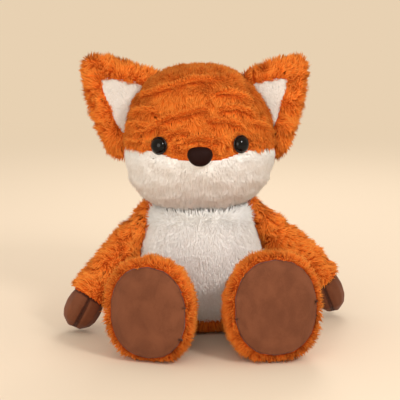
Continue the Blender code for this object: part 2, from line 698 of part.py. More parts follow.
def arm(side):
    """A fur sleeve with a closed root, a paw of two suede halves, and one roll of fibrefill."""
    name = SIDE_NAMES[side]
    sleeve = arm_form(f"arm_{name}_sleeve", side, 0.0, ARM_SIDES)
    cut(sleeve, body_cutter(SEAM_GAP))
    cut(sleeve, cuff_cutter(side, 1, -SEAM_GAP / 2))
    hollow = arm_form("hollow", side, PANEL_THICKNESS, ARM_CORE_SIDES)
    cut(hollow, body_cutter(SEAM_GAP + PANEL_THICKNESS))
    dress(cut(sleeve, hollow), "orange_fur")

    paw = arm_form("paw", side, 0.0, ARM_SIDES)
    cut(paw, cuff_cutter(side, -1, SEAM_GAP / 2))
    cut(paw, arm_form("hollow", side, SUEDE_THICKNESS, ARM_CORE_SIDES))
    centre, _ = arm_station(side, CUFF_SHARE)
    _, end = arm_ends(side)
    across = (end - centre).cross(Y).normalized() * SIGNS[side]
    for half_name, sign in (("outer", 1), ("inner", -1)):
        half = copy_of(paw, f"paw_{name}_{half_name}")
        seam = centre + across * (sign * SEAM_GAP / 2)
        cut(half, half_space("region", seam, -across * sign, ARM_LENGTH[side]))
        dress(half, "brown_suede")
    bpy.data.objects.remove(paw)

    core = arm_form(f"arm_{name}_stuffing", side, PANEL_THICKNESS + SEAM_GAP, ARM_CORE_SIDES)
    dress(cut(core, body_cutter(2 * SEAM_GAP + PANEL_THICKNESS)), "fibrefill")


# Legs

def leg_line(side):
    """Where the leg's axis starts and ends, on the floor plan."""
    sign = SIGNS[side]
    hip = Vector((sign * HIP_OUT[side], -HIP_DEPTH, 0.0))
    foot = Vector((sign * FOOT_OUT[side], -LEG_REACH, 0.0))
    return hip, foot


def leg_ring(side, t, inset, sides, past=0.0):
    """The leg's section at share t of its length, turned and tipped towards the sole's own plane."""
    sign = SIGNS[side]
    hip, foot = leg_line(side)
    straight = math.atan2(foot.x - hip.x, hip.y - foot.y)
    yaw = straight + (sign * math.radians(SOLE_YAW_DEG[side]) - straight) * ease((t - 0.3) / 0.7)
    pitch = math.radians(SOLE_PITCH_DEG[side]) * ease((t - 0.5) / 0.5)
    heading = Vector((math.sin(yaw), -math.cos(yaw), 0.0))
    across = Vector((math.cos(yaw), math.sin(yaw), 0.0))
    upward = (Z * math.cos(pitch) - heading * math.sin(pitch)).normalized()
    half_width = FOOT_WIDTH[side] / 2 * between(LEG_WIDTH_SHARES, t) - inset
    half_height = FOOT_HEIGHT[side] / 2 * between(LEG_HEIGHT_SHARES, t)
    low = half_height - FOOT_FLAT
    level = low + (SOLE_LEVEL[side] - low) * ease((t - 0.8) / 0.2)
    centre = hip + (foot - hip) * t + Z * level + heading * past
    return ring(centre, across, upward, half_width, half_height - inset, LEG_ROUNDNESS, sides, inset)


def leg_end(side, inset, sides, short):
    """The leg's section that lies short metres inside its front edge, on the same straight last stretch."""
    last, front = (leg_ring(side, t, inset, sides) for t in LEG_STATION_SHARES[-2:])
    back = (sum(front, Vector()) - sum(last, Vector())).length / sides
    return [b.lerp(a, short / back) for a, b in zip(last, front)]


def leg_form(name, side, inset, sides, past=0.0, short=0.0):
    """The leg's round form. It can run on past the sole, or stop short of it."""
    rings = [leg_ring(side, t, inset, sides) for t in LEG_STATION_SHARES[:-1]]
    rings.append(leg_end(side, inset, sides, short))
    if past:
        rings.append(leg_ring(side, 1.0, inset, sides, past))
    return loft(name, rings)


def sole(side):
    """The suede sole, let into the front of the sleeve and softly crowned."""
    inset = PANEL_THICKNESS + SEAM_GAP
    back = leg_end(side, inset, LEG_CORE_SIDES, SUEDE_THICKNESS)
    front = leg_end(side, inset, LEG_CORE_SIDES, 0.0)
    middle = sum(front, Vector()) / LEG_CORE_SIDES
    outward = (middle - sum(back, Vector()) / LEG_CORE_SIDES).normalized()
    rings = [back, front]
    for share, crown_share in SOLE_CROWN_SHARES:
        rings.append([middle + (p - middle) * share + outward * (SOLE_CROWN * crown_share) for p in front])
    loft(f"sole_{SIDE_NAMES[side]}", rings, "brown_suede", None, middle + outward * SOLE_CROWN)


def body_cutter(grow):
    """The body as the limbs meet it, with straight sides below its widest level."""
    return body_form("body_cutter", -grow, BODY_SIDES, OVERRUN, WIDEST_SHARE)


def leg(side):
    """A fur sleeve with a closed root against the body, its sole, and its fibrefill."""
    name = SIDE_NAMES[side]
    sleeve = leg_form(f"leg_{name}_sleeve", side, 0.0, LEG_SIDES)
    cut(sleeve, body_cutter(SEAM_GAP))
    hollow = leg_form("hollow", side, PANEL_THICKNESS, LEG_CORE_SIDES, OVERRUN)
    cut(hollow, body_cutter(SEAM_GAP + PANEL_THICKNESS))
    dress(cut(sleeve, hollow), "orange_fur")
    sole(side)
    inset, short = PANEL_THICKNESS + SEAM_GAP, SUEDE_THICKNESS + SEAM_GAP
    core = leg_form(f"leg_{name}_stuffing", side, inset, LEG_CORE_SIDES, 0.0, short)
    dress(cut(core, body_cutter(2 * SEAM_GAP + PANEL_THICKNESS)), "fibrefill")


# Tail

def tail_station(t):
    """Centre of the tail's line at share t of its length, and the tail's half height there.

    The tail comes down from its root and lies on the table.
    """
    half_height = TAIL_HEIGHT / 2 * between(TAIL_HEIGHT_SHARES, t)
    resting = half_height - FOOT_FLAT
    level = TAIL_ROOT_LEVEL + (resting - TAIL_ROOT_LEVEL) * ease(t / TAIL_DOWN_SHARE)
    root = BODY_DEPTH / 2 - TAIL_BURIED
    return Vector((TAIL_SIDEWAYS * t * t, root + TAIL_LENGTH * t, level)), half_height


def tail_form(name, inset, sides):
    """The tail's round form, inset into the cloth."""
    rings = []
    for t in TAIL_STATION_SHARES:
        centre, full_height = tail_station(t)
        centre.y += inset * (1 - 2 * t)
        half_width = max(TAIL_WIDTH / 2 * between(TAIL_WIDTH_SHARES, t) - inset, PANEL_THICKNESS / 2)
        half_height = max(full_height - inset, PANEL_THICKNESS / 2)
        rings.append(ring(centre, X, Z, half_width, half_height, 2.0, sides, inset))
    return loft(name, rings)


def tail():
    """An orange sleeve with a closed root and a white tip, both round one roll of fibrefill."""
    reach = TAIL_LENGTH
    seam = BODY_DEPTH / 2 - TAIL_BURIED + TAIL_LENGTH * TAIL_TIP_SHARE
    sleeve = tail_form("tail_sleeve", 0.0, TAIL_SIDES)
    cut(sleeve, body_cutter(SEAM_GAP))
    hollow = tail_form("hollow", PANEL_THICKNESS, TAIL_SIDES)
    cut(hollow, body_cutter(SEAM_GAP + PANEL_THICKNESS))
    tip = copy_of(cut(sleeve, hollow), "tail_tip")
    cut(sleeve, half_space("region", Y * (seam - SEAM_GAP / 2), Y, reach))
    dress(sleeve, "orange_fur")
    dress(cut(tip, half_space("region", Y * (seam + SEAM_GAP / 2), -Y, reach)), "white_fur")
    core = tail_form("tail_stuffing", PANEL_THICKNESS + SEAM_GAP, TAIL_SIDES)
    dress(cut(core, body_cutter(2 * SEAM_GAP + PANEL_THICKNESS)), "fibrefill")


# Joints

def pivot(name, place, axis, carrier, pieces):
    """An empty on a joint's axis, its Z along the axis. It carries the pieces that turn there."""
    made = bpy.data.objects.new(name, None)
    bpy.context.scene.collection.objects.link(made)
    made.matrix_world = Matrix.Translation(place) @ Z.rotation_difference(axis).to_matrix().to_4x4()
    bpy.context.view_layer.update()
    if carrier:
        made.parent = carrier
        made.matrix_parent_inverse = carrier.matrix_world.inverted()
    for piece in pieces:
        carried = bpy.data.objects[piece]
        carried.parent = made
        carried.matrix_parent_inverse = made.matrix_world.inverted()
    return made


def shoulder_pivot(side):
    """The top outer edge of the sleeve's root, and the axis that the arm rises on."""
    centre, tangent = arm_station(side, 0.0)
    radius = PAW_WIDTH[side] / 2 * ARM_WIDTH_SHARES[0][1]
    upward = tangent.cross(Y) * SIGNS[side]
    return centre + upward.normalized() * radius, Y * -SIGNS[side]


def hip_pivot(side):
    """The lower rear edge of the leg's root, and the axis along it that the leg drops on."""
    _, half_width, half_depth = body_section(0.0, -2 * SEAM_GAP, WIDEST_SHARE)
    power = BODY_ROUNDNESS
    x = HIP_OUT[side]
    y = half_depth * (1 - (x / half_width) ** power) ** (1 / power)
    slope_x = (x / half_width) ** (power - 1) / half_width
    slope_y = (y / half_depth) ** (power - 1) / half_depth
    outward = Vector((SIGNS[side] * slope_x, -slope_y, 0.0)).normalized()
    return Vector((SIGNS[side] * x, -y, 2 * SEAM_GAP)), Z.cross(outward)


def tail_pivot():
    """The top edge of the tail's root, and the axis that the tail lifts on."""
    centre, half_height = tail_station(TAIL_BURIED / TAIL_LENGTH)
    top = centre.z + half_height
    middle, _, half_depth = body_section(top, -2 * SEAM_GAP, WIDEST_SHARE)
    return Vector((0.0, middle.y + half_depth, top)), X


def joints():
    """The empties that the moving pieces hang on, as they hang on one another."""
    turn = pivot("head_turn", neck_centre(), Z, None, ["neck_stuffing"])
    features = ["eye_left", "eye_right", "eye_washer_left", "eye_washer_right", "nose", "nose_washer"]
    skin = ["head_face_panel", "cheek_left", "cheek_right", "head_back_panel"]
    nod = pivot("head_nod", neck_centre(), X, turn, ["head_stuffing"] + skin + features)
    for side, name in enumerate(SIDE_NAMES):
        foot, top = ear_axis(side)
        ear_pieces = [f"ear_{name}_shell", f"ear_{name}_lining"]
        pivot(f"ear_{name}_fold", foot, (top - foot).normalized(), nod, ear_pieces)
        paw_pieces = [f"paw_{name}_outer", f"paw_{name}_inner"]
        arm_pieces = [f"arm_{name}_sleeve", f"arm_{name}_stuffing"] + paw_pieces
        pivot(f"arm_{name}_raise", *shoulder_pivot(side), None, arm_pieces)
        leg_pieces = [f"leg_{name}_sleeve", f"leg_{name}_stuffing", f"sole_{name}"]
        pivot(f"leg_{name}_drop", *hip_pivot(side), None, leg_pieces)
    pivot("tail_lift", *tail_pivot(), None, ["tail_sleeve", "tail_tip", "tail_stuffing"])


def main():
    clear_scene()
    head()
    body()
    for side in (LEFT, RIGHT):
        ear(side)
        arm(side)
        leg(side)
    tail()
    joints()


main()
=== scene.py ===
"""A seated plush fox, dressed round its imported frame: stuffed skins, combed pile, suede, eyes and nose.

Metres, +Z up. The fox faces -Y, and its own left side is at +X.
"""

import json
import math

import bmesh
import bpy
import numpy as np
from mathutils import Matrix, Vector, noise
from mathutils.bvhtree import BVHTree
from mathutils.kdtree import KDTree

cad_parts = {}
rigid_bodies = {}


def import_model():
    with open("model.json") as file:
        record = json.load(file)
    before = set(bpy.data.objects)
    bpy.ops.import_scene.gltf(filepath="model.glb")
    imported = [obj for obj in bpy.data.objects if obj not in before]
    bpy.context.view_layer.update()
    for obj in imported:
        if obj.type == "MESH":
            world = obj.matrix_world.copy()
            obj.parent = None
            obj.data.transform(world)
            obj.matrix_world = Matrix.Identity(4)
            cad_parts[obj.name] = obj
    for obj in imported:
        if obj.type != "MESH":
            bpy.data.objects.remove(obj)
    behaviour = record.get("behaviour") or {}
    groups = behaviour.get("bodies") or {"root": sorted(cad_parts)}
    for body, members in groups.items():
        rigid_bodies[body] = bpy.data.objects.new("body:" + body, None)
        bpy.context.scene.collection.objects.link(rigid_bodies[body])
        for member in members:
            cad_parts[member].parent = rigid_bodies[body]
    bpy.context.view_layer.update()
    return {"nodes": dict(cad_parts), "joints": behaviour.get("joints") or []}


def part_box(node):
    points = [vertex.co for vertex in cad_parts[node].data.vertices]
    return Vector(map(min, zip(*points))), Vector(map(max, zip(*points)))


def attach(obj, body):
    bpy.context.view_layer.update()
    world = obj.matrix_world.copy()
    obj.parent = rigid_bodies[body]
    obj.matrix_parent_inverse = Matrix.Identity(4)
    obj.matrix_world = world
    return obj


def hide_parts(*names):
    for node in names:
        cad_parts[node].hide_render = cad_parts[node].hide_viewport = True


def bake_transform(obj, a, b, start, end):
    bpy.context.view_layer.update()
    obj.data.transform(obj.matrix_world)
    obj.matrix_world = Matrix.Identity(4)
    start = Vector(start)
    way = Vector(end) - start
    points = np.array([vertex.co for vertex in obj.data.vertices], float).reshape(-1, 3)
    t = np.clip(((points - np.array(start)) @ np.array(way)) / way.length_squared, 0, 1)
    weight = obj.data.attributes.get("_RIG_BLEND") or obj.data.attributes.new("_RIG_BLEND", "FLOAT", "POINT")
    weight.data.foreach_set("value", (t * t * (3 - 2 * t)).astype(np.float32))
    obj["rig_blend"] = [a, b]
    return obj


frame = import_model()
JOINTS = {joint["name"]: joint for joint in frame["joints"]}

noise.seed_set(5)  # noise vectors start from the clock without it

MM = 0.001
UP = np.array([0.0, 0.0, 1.0])
SIDES = ("left", "right")

# Camera
CAMERA_PLACE = (0.0, -1.30101, 0.35206)
CAMERA_AIM = (0.0, -0.070, 0.135)
CAMERA_LENS = 120.96
SENSOR_WIDTH = 36.0

# Skins
FUR_VOXEL = 2.0 * MM
FINE_VOXEL = 1.5 * MM
CLOTH_THICKNESS = 2.0 * MM
SEAM_DEPTH = 1.0 * MM
SEAM_WIDTH = 2.5 * MM
SOLE_TURN_IN = 1.6 * MM  # how far a sole's edge rolls over the rim of its foot
SKIN_FLOOR = 0.05 * MM  # no skin goes below this, and no pile below the next
PILE_FLOOR = 0.1 * MM
BARE_LEVEL = 2.0 * MM  # pile starts this far above the table
BODY_CLEARANCE = 1.2 * MM  # and this far from the body, on limbs and tail

# Stuffing, blown up by the cloth solver
SWELL_VOXEL = 5.0 * MM
SWELL_INSET = 1.5 * MM  # the cloth starts this much smaller
SWELL_CAP = 2.5 * MM
SWELL_PRESSURE = 4.0
SWELL_FRAMES = 20
HELD_LEVEL = 3.0 * MM  # below this the table holds the cloth

# Pile lengths
FACE_PILE = 5.0 * MM
BACK_PILE = 6.0 * MM
WHITE_PILE_LENGTH = 3.8 * MM
LIMB_PILE = 6.8 * MM
EAR_PILE = 7.2 * MM
TAIL_PILE = 8.0 * MM
LOCK_WIDTH = 1.15 * MM
NAP_EVENNESS = 3.0  # how far a lock is shaded as the skin under it
MOST_SUNK = 0.62  # share of its height that a lock loses when it lies down
BEND_SHARE = 0.28

# Fur: locks on a square metre, their length, and the height of the relief under them
FACE_FUR = (0.85e6, FACE_PILE, 2.6 * MM)
NAPE_FUR = (0.5e6, BACK_PILE, 2.4 * MM)
CHEEK_FUR = (0.95e6, WHITE_PILE_LENGTH, 2.0 * MM)
BELLY_FUR = (0.72e6, WHITE_PILE_LENGTH * 1.1, 1.2 * MM)
BACK_FUR = (0.5e6, BACK_PILE, 2.0 * MM)
EAR_FUR = (0.85e6, EAR_PILE, 2.2 * MM)
LINING_FUR = (1.1e6, WHITE_PILE_LENGTH * 0.9, 0.5 * MM)
ARM_FUR = (0.8e6, LIMB_PILE, 2.2 * MM)
LEG_FUR = (0.54e6, LIMB_PILE, 2.2 * MM)
TAIL_FUR = (0.5e6, TAIL_PILE, 1.8 * MM)

# The head's round, for lines that run across it
HEAD_CENTRE = (-0.010, 0.185)
HEAD_ROUND = 65.0 * MM
CREST_SPACING = 11.0 * MM
CREST_HALF_WIDTH = 2.2 * MM

# Crests across the forehead: how far to its left, and how far up its round from the eyes' level
FOREHEAD_CRESTS = (
    ((-52.7, 75.0), (-43.6, 66.6), (-35.9, 65.0), (-27.3, 62.9), (-19.7, 65.2), (-11.1, 67.4), (-2.5, 68.1),
     (10.3, 69.2)),
    ((-62.0, 58.0), (-56.6, 54.4), (-48.7, 48.0), (-41.0, 41.8), (-36.7, 39.7)),
    ((-36.7, 30.1), (-28.1, 31.6), (-19.5, 32.2), (-11.0, 33.8), (-2.5, 36.2), (4.7, 37.9)),
    ((-67.1, 46.0), (-58.6, 35.7), (-51.9, 29.0), (-43.1, 24.9), (-38.8, 28.1), (-33.4, 29.2)),
    ((-57.0, 21.0), (-47.5, 19.4), (-43.1, 22.2), (-38.0, 24.0)),
    ((5.9, 27.0), (14.4, 26.7), (22.9, 27.6), (29.4, 27.1), (36.8, 23.9)),
    ((20.0, 38.5), (24.1, 40.6), (31.6, 43.4), (39.1, 44.6), (46.8, 44.6)),
    ((-32.3, 12.4), (-19.5, 15.0), (-8.9, 15.4)),
    ((-15.2, 5.3), (-6.7, 7.5), (1.7, 8.6), (10.1, 7.5)),
    ((16.6, 55.2), (24.2, 58.3), (31.7, 60.6), (40.5, 62.9), (46.0, 62.0)),
    ((45.5, 30.9), (53.3, 34.7), (60.0, 34.9), (67.2, 36.5)),
    ((-65.5, 6.6), (-58.6, 5.1), (-51.9, 4.1)),
)

# Eyes and nose
POST_RADIUS = 2.2 * MM
EYE_TOP = 6.5 * MM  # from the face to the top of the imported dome
EYE_RADIUS = 7.8 * MM
EYE_HEIGHT = 6.8 * MM
EYE_SINK = 1.2 * MM
EYE_RIM_RADIUS = 8.5 * MM
EYE_SIDES = 40
NOSE_TOP = 9.3 * MM
NOSE_HALF_WIDTH = 12.0 * MM
NOSE_HALF_HEIGHT = 9.4 * MM
NOSE_CLEAR_RADIUS = 8.4 * MM  # no pile grows inside this, on an outline drawn out to the nose's own
NOSE_CLEAR_STRETCH = np.array([8.6 / 12.0, 1.0, 8.6 / 9.4])
NOSE_HALF_OUTLINE = (
    (0.0, -1.0), (0.36, -0.93), (0.67, -0.68), (0.87, -0.36), (0.98, 0.0), (1.0, 0.30), (0.93, 0.62), (0.72, 0.86),
    (0.38, 0.97),
)
NOSE_OUTLINE = NOSE_HALF_OUTLINE + ((0.0, 1.0),) + tuple((-u, v) for u, v in NOSE_HALF_OUTLINE[:0:-1])
NOSE_DOME = ((0.88, 0.0), (0.99, 0.16), (1.0, 0.34), (0.93, 0.58), (0.78, 0.79), (0.55, 0.92), (0.28, 0.985))


# Meshes

def placed(name, mesh):
    """A new object in the scene for a mesh."""
    made = bpy.data.objects.new(name, mesh)
    bpy.context.scene.collection.objects.link(made)
    return made


def applied(obj):
    """The object with its modifiers applied for good."""
    graph = bpy.context.evaluated_depsgraph_get()
    mesh = bpy.data.meshes.new_from_object(obj.evaluated_get(graph))
    obj.modifiers.clear()
    obj.data = mesh
    return obj


def remeshed(obj, voxel):
    remesh = obj.modifiers.new("form", "REMESH")
    remesh.mode = "VOXEL"
    remesh.voxel_size = voxel
    return applied(obj)


def as_mesh(work, name):
    mesh = bpy.data.meshes.new(name)
    work.to_mesh(mesh)
    work.free()
    mesh.shade_smooth()
    return mesh


def surface_mesh(nodes):
    """The frame's surface of some nodes, as a mesh to work on."""
    work = bmesh.new()
    for node in nodes:
        work.from_mesh(frame["nodes"][node].data)
    return work


def outermost(obj):
    """Drops every part of a mesh but its largest."""
    work = bmesh.new()
    work.from_mesh(obj.data)
    seen, largest = set(), []
    for start in work.verts:
        if start in seen:
            continue
        island, queue = [], [start]
        seen.add(start)
        while queue:
            vert = queue.pop()
            island.append(vert)
            for edge in vert.link_edges:
                other = edge.other_vert(vert)
                if other not in seen:
                    seen.add(other)
                    queue.append(other)
        if len(island) > len(largest):
            largest = island
    kept = set(largest)
    bmesh.ops.delete(work, geom=[v for v in work.verts if v not in kept], context="VERTS")
    work.to_mesh(obj.data)
    work.free()
    return obj


def stuffed(name, nodes, voxel, smoothing):
    """One smooth closed form round some nodes, as fine as the voxel."""
    work = surface_mesh(nodes)
    bmesh.ops.remove_doubles(work, verts=work.verts, dist=0.01 * MM)
    obj = outermost(remeshed(placed(name, as_mesh(work, name)), voxel))
    soften = obj.modifiers.new("soften", "SMOOTH")
    soften.factor = 0.5
    soften.iterations = smoothing
    applied(obj)
    obj.data.shade_smooth()
    return obj


def points_of(obj):
    """Points and normals of a mesh as arrays."""
    count = len(obj.data.vertices)
    points, normals = np.zeros(count * 3), np.zeros(count * 3)
    obj.data.vertices.foreach_get("co", points)
    obj.data.vertices.foreach_get("normal", normals)
    return points.reshape(-1, 3), normals.reshape(-1, 3)


def move_points(obj, points):
    obj.data.vertices.foreach_set("co", points.ravel())
    obj.data.update()


def store(obj, name, values):
    """Keeps a number or a vector for each point."""
    kind, field = ("FLOAT", "value") if values.ndim == 1 else ("FLOAT_VECTOR", "vector")
    attribute = obj.data.attributes.get(name) or obj.data.attributes.new(name, kind, "POINT")
    attribute.data.foreach_set(field, values.astype(np.float32).ravel())


def seam_of(skin):
    """How far each point is from the nearest seam, as it was kept when the sheets were parted."""
    values = np.zeros(len(skin.data.vertices), dtype=np.float32)
    skin.data.attributes["seam"].data.foreach_get("value", values)
    return values.astype(float)


def tree_of(nodes):
    """A search tree over the frame's surface of some nodes."""
    work = surface_mesh(nodes)
    tree = BVHTree.FromBMesh(work)
    work.free()
    return tree


def distances(points, nodes):
    """How far each point is from the surface of some nodes."""
    tree = tree_of(nodes)
    return np.array([tree.find_nearest(Vector(p))[3] for p in points])


# Fields

def step(values, low, high):
    """0 up to low, 1 from high, smooth between."""
    t = np.clip((values - low) / (high - low), 0.0, 1.0)
    return t * t * (3.0 - 2.0 * t)


def bell(values, centre, width):
    return np.exp(-((values - centre) / width) ** 2)


def blend_of(first, second, share):
    """The first field, replaced by the second as far as the share says."""
    if first.ndim == 2:
        share = share[:, None]
    return first * (1.0 - share) + second * share


def tangent(vectors, normals):
    """The part of each vector that lies in the surface."""
    return vectors - normals * (vectors * normals).sum(1)[:, None]


def unit(vectors):
    return vectors / np.maximum(np.linalg.norm(vectors, axis=1), 1e-9)[:, None]


def everywhere(vector, points):
    return np.tile(np.array(vector, dtype=float), (len(points), 1))


def noise_at(points, size, seed=0.0):
    """Smooth noise from -1 to 1, with features of about the size."""
    shift = Vector((seed, 2.0 * seed, 3.0 * seed))
    return np.array([noise.noise(Vector(p) / size + shift) for p in points])


def noise_vectors(points, size, seed=0.0):
    shift = Vector((seed, 2.0 * seed, 3.0 * seed))
    return np.array([noise.noise_vector(Vector(p) / size + shift) for p in points])


# Skins

def parted(form, nodes, depth=SEAM_DEPTH, wider=None):
    """Cuts a form along the seams between some nodes into a sheet of cloth for each, drawn in at its seams.

    A sheet that is given in wider reaches that much past its node.
    """
    extra = [(wider or {}).get(node, 0.0) for node in nodes]
    trees = [tree_of([node]) for node in nodes]
    points, normals = points_of(form)

    def reach_of_sheets():
        return np.array([distances(points, [node]) - more for node, more in zip(nodes, extra)])

    def from_sheet(k, place):
        return trees[k].find_nearest(place)[3] - extra[k]

    reach = reach_of_sheets()
    owner = [min(range(len(nodes)), key=lambda k: from_sheet(k, face.center)) for face in form.data.polygons]
    owners = [set() for _ in range(len(points))]
    for face, k in zip(form.data.polygons, owner):
        for index in face.vertices:
            owners[index].add(k)
    for index, around in enumerate(owners):
        if len(around) != 2:
            continue
        first, second = around
        here = Vector(points[index])
        near, far = trees[first].find_nearest(here)[0], trees[second].find_nearest(here)[0]
        apart = (near - far).length
        if apart > 0.01 * MM:
            slip = (reach[first][index] - reach[second][index]) / 2
            points[index] += np.array((near - far) / apart) * slip
    ranked = np.sort(reach_of_sheets(), axis=0)
    seam = ranked[1] - ranked[0]
    move_points(form, points - normals * (depth * bell(seam, 0.0, SEAM_WIDTH))[:, None])
    store(form, "seam", seam)
    sheets = {}
    for k, node in enumerate(nodes):
        work = bmesh.new()
        work.from_mesh(form.data)
        work.faces.ensure_lookup_table()
        bmesh.ops.delete(work, geom=[f for f in work.faces if owner[f.index] != k], context="FACES")
        name = node + ("_suede" if node.startswith(("paw", "sole")) else "_cloth")
        sheets[node] = placed(name, as_mesh(work, name))
    bpy.data.objects.remove(form)
    return sheets


def swollen(form, panels):
    """Swells a form under the stuffing's pressure, held at the seams between its panels and on the table."""
    coarse = remeshed(placed("swelling", form.data.copy()), SWELL_VOXEL)
    rest, normals = points_of(coarse)
    ranked = np.sort(np.array([distances(rest, [panel]) for panel in panels]), axis=0)
    held = 1.0 - step(ranked[1] - ranked[0], 1.0 * MM, SWELL_VOXEL)
    held = np.maximum(held, (rest[:, 2] < HELD_LEVEL) * 1.0)
    group = coarse.vertex_groups.new(name="held")
    for index in np.nonzero(held > 0.01)[0]:
        group.add([int(index)], float(held[index]), "REPLACE")
    move_points(coarse, rest - normals * SWELL_INSET)
    cloth = coarse.modifiers.new("swell", "CLOTH")
    cloth.settings.use_pressure = True
    cloth.settings.uniform_pressure_force = SWELL_PRESSURE
    cloth.settings.effector_weights.gravity = 0.0
    cloth.settings.vertex_group_mass = "held"
    for number in range(1, SWELL_FRAMES + 1):
        bpy.context.scene.frame_set(number)
    applied(coarse)
    swelled, _ = points_of(coarse)
    bpy.context.scene.frame_set(1)
    shift = swelled - rest
    shift *= np.minimum(1.0, SWELL_CAP / np.maximum(np.linalg.norm(shift, axis=1), 1e-9))[:, None]
    tree = KDTree(len(rest))
    for index, place in enumerate(rest):
        tree.insert(place, index)
    tree.balance()
    points, _ = points_of(form)
    for index, place in enumerate(points.copy()):
        near = tree.find_n(place, 4)
        weights = np.array([1.0 / (away + 0.2 * MM) ** 2 for _, _, away in near])
        points[index] += weights @ shift[[k for _, k, _ in near]] / weights.sum()
    points[:, 2] = np.maximum(points[:, 2], SKIN_FLOOR)
    move_points(form, points)
    bpy.data.objects.remove(coarse)
    return form


def thickened(obj):
    """Gives a sheet of cloth its thickness, inwards."""
    solidify = obj.modifiers.new("cloth", "SOLIDIFY")
    solidify.thickness = CLOTH_THICKNESS
    solidify.offset = -1.0
    return applied(obj)


# Shader groups

def feed(tree, socket, value):
    """Gives a socket its plain value, or links it to the socket that feeds it."""
    if isinstance(value, bpy.types.NodeSocket):
        tree.links.new(value, socket)
    elif socket.type == "RGBA" and len(value) == 3:
        socket.default_value = (*value, 1.0)
    else:
        socket.default_value = value


def put(tree, kind, *values, **settings):
    """A node in a tree. A setting is one of its properties or inputs, and values go to its first inputs."""
    made = tree.nodes.new(kind)
    for key, value in settings.items():
        socket = made.inputs.get(key.replace("_", " "))
        if socket is None:
            setattr(made, key, value)
        else:
            feed(tree, socket, value)
    for socket, value in zip(made.inputs, values):
        feed(tree, socket, value)
    return made


def group_tree(name, inputs, outputs, kind="ShaderNodeTree"):
    """A new group, with what it is given and the node that it puts out."""
    tree = bpy.data.node_groups.new(name, kind)
    for way, sockets in (("INPUT", inputs), ("OUTPUT", outputs)):
        for label, socket in sockets:
            tree.interface.new_socket(label, in_out=way, socket_type="NodeSocket" + socket)
    return tree, tree.nodes.new("NodeGroupInput").outputs, tree.nodes.new("NodeGroupOutput")


def mixed(tree, factor, first, second, blend="MIX"):
    """A mix of two colours, each a socket or a plain colour."""
    mix = put(tree, "ShaderNodeMix", data_type="RGBA", blend_type=blend, Factor=factor)
    for socket, value in zip([s for s in mix.inputs if s.type == "RGBA"], (first, second)):
        feed(tree, socket, value)
    return next(s for s in mix.outputs if s.type == "RGBA")


def ramp(tree, value, low, high):
    """A value's smooth rise, from 0 at low to 1 at high."""
    return put(tree, "ShaderNodeMapRange", value, low, high, interpolation_type="SMOOTHSTEP").outputs["Result"]


def grain_group():
    """Fine noise over a slower one, as a mask for colour and a height for bump."""
    tree, given, out = group_tree(
        "Grain",
        [("Place", "Vector"), ("Fine Scale", "Float"), ("Broad Scale", "Float"), ("Fine Share", "Float")],
        [("Mask", "Float"), ("Height", "Float")],
    )
    fine = put(tree, "ShaderNodeTexNoise", Vector=given["Place"], Scale=given["Fine Scale"], Detail=3.0,
               Roughness=0.6).outputs["Fac"]
    broad = put(tree, "ShaderNodeTexNoise", Vector=given["Place"], Scale=given["Broad Scale"], Detail=3.0,
                Roughness=0.5, Distortion=0.4).outputs["Fac"]
    blend = put(tree, "ShaderNodeMix", data_type="FLOAT", Factor=given["Fine Share"], A=broad, B=fine)
    feed(tree, out.inputs["Mask"], ramp(tree, blend.outputs["Result"], 0.3, 0.7))
    feed(tree, out.inputs["Height"], fine)
    return tree


def lock_group():
    """A lock's colour from root to tip, multiplied by the shade of the lock. Its darker root and lighter tip are partly
    the fibre's own colour and partly painted shade deep in the pile and painted light on the tips.
    """
    tree, given, out = group_tree(
        "Lock Colour",
        [("Chart", "Vector"), ("Root", "Color"), ("Middle", "Color"), ("Tip", "Color"), ("Dark", "Color")],
        [("Colour", "Color")],
    )
    split = put(tree, "ShaderNodeSeparateXYZ", given["Chart"]).outputs
    low_half = mixed(tree, ramp(tree, split["X"], 0.0, 0.5), given["Root"], given["Middle"])
    whole = mixed(tree, ramp(tree, split["X"], 0.45, 1.0), low_half, given["Tip"])
    shade = mixed(tree, ramp(tree, split["Y"], 0.0, 0.9), given["Dark"], (1.0, 1.0, 1.0))
    feed(tree, out.inputs["Colour"], mixed(tree, 1.0, whole, shade, "MULTIPLY"))
    return tree


GRAIN = grain_group()
LOCK_COLOUR = lock_group()


# Materials

def new_material(name):
    material = bpy.data.materials.new(name)
    material.use_nodes = True
    material.node_tree.nodes.clear()
    return material, material.node_tree


def surface_of(tree, colour, roughness, **settings):
    """A surface with its output. Settings are plain numbers on its sockets."""
    surface = put(tree, "ShaderNodeBsdfPrincipled", Base_Color=colour, Roughness=roughness, **settings)
    put(tree, "ShaderNodeOutputMaterial", surface.outputs["BSDF"])
    return surface


def grain_of(tree, fine, broad, share, stretch=(1.0, 1.0, 1.0)):
    """The grain group on Object coordinates, stretched where the nap has a direction."""
    place = put(tree, "ShaderNodeTexCoord").outputs["Object"]
    mapping = put(tree, "ShaderNodeMapping", Vector=place, Scale=stretch)
    return put(tree, "ShaderNodeGroup", mapping.outputs["Vector"], fine, broad, share, node_tree=GRAIN).outputs


def bumped(tree, surface, height, strength, distance):
    bump = put(tree, "ShaderNodeBump", Strength=strength, Distance=distance, Height=height)
    feed(tree, surface.inputs["Normal"], bump.outputs["Normal"])


def srgb(red, green, blue):
    """A colour given as it looks on screen, 0 to 255."""
    def linear(value):
        value /= 255.0
        return value / 12.92 if value <= 0.04045 else ((value + 0.055) / 1.055) ** 2.4
    return tuple(linear(v) for v in (red, green, blue))


def pile_material(name, root, middle, tip, dark):
    """Pile that runs from its root's colour to its tip's, each lock with its own shade, from a random tone and from
    painted light and shade on the relief; the last colour is how dark a lock gets.
    """
    material, tree = new_material(name)
    chart = put(tree, "ShaderNodeUVMap", uv_map="OFBake").outputs["UV"]
    colour = put(tree, "ShaderNodeGroup", chart, root, middle, tip, dark, node_tree=LOCK_COLOUR)
    surface_of(tree, colour.outputs["Colour"], 0.85, Specular_IOR_Level=0.12)
    return material


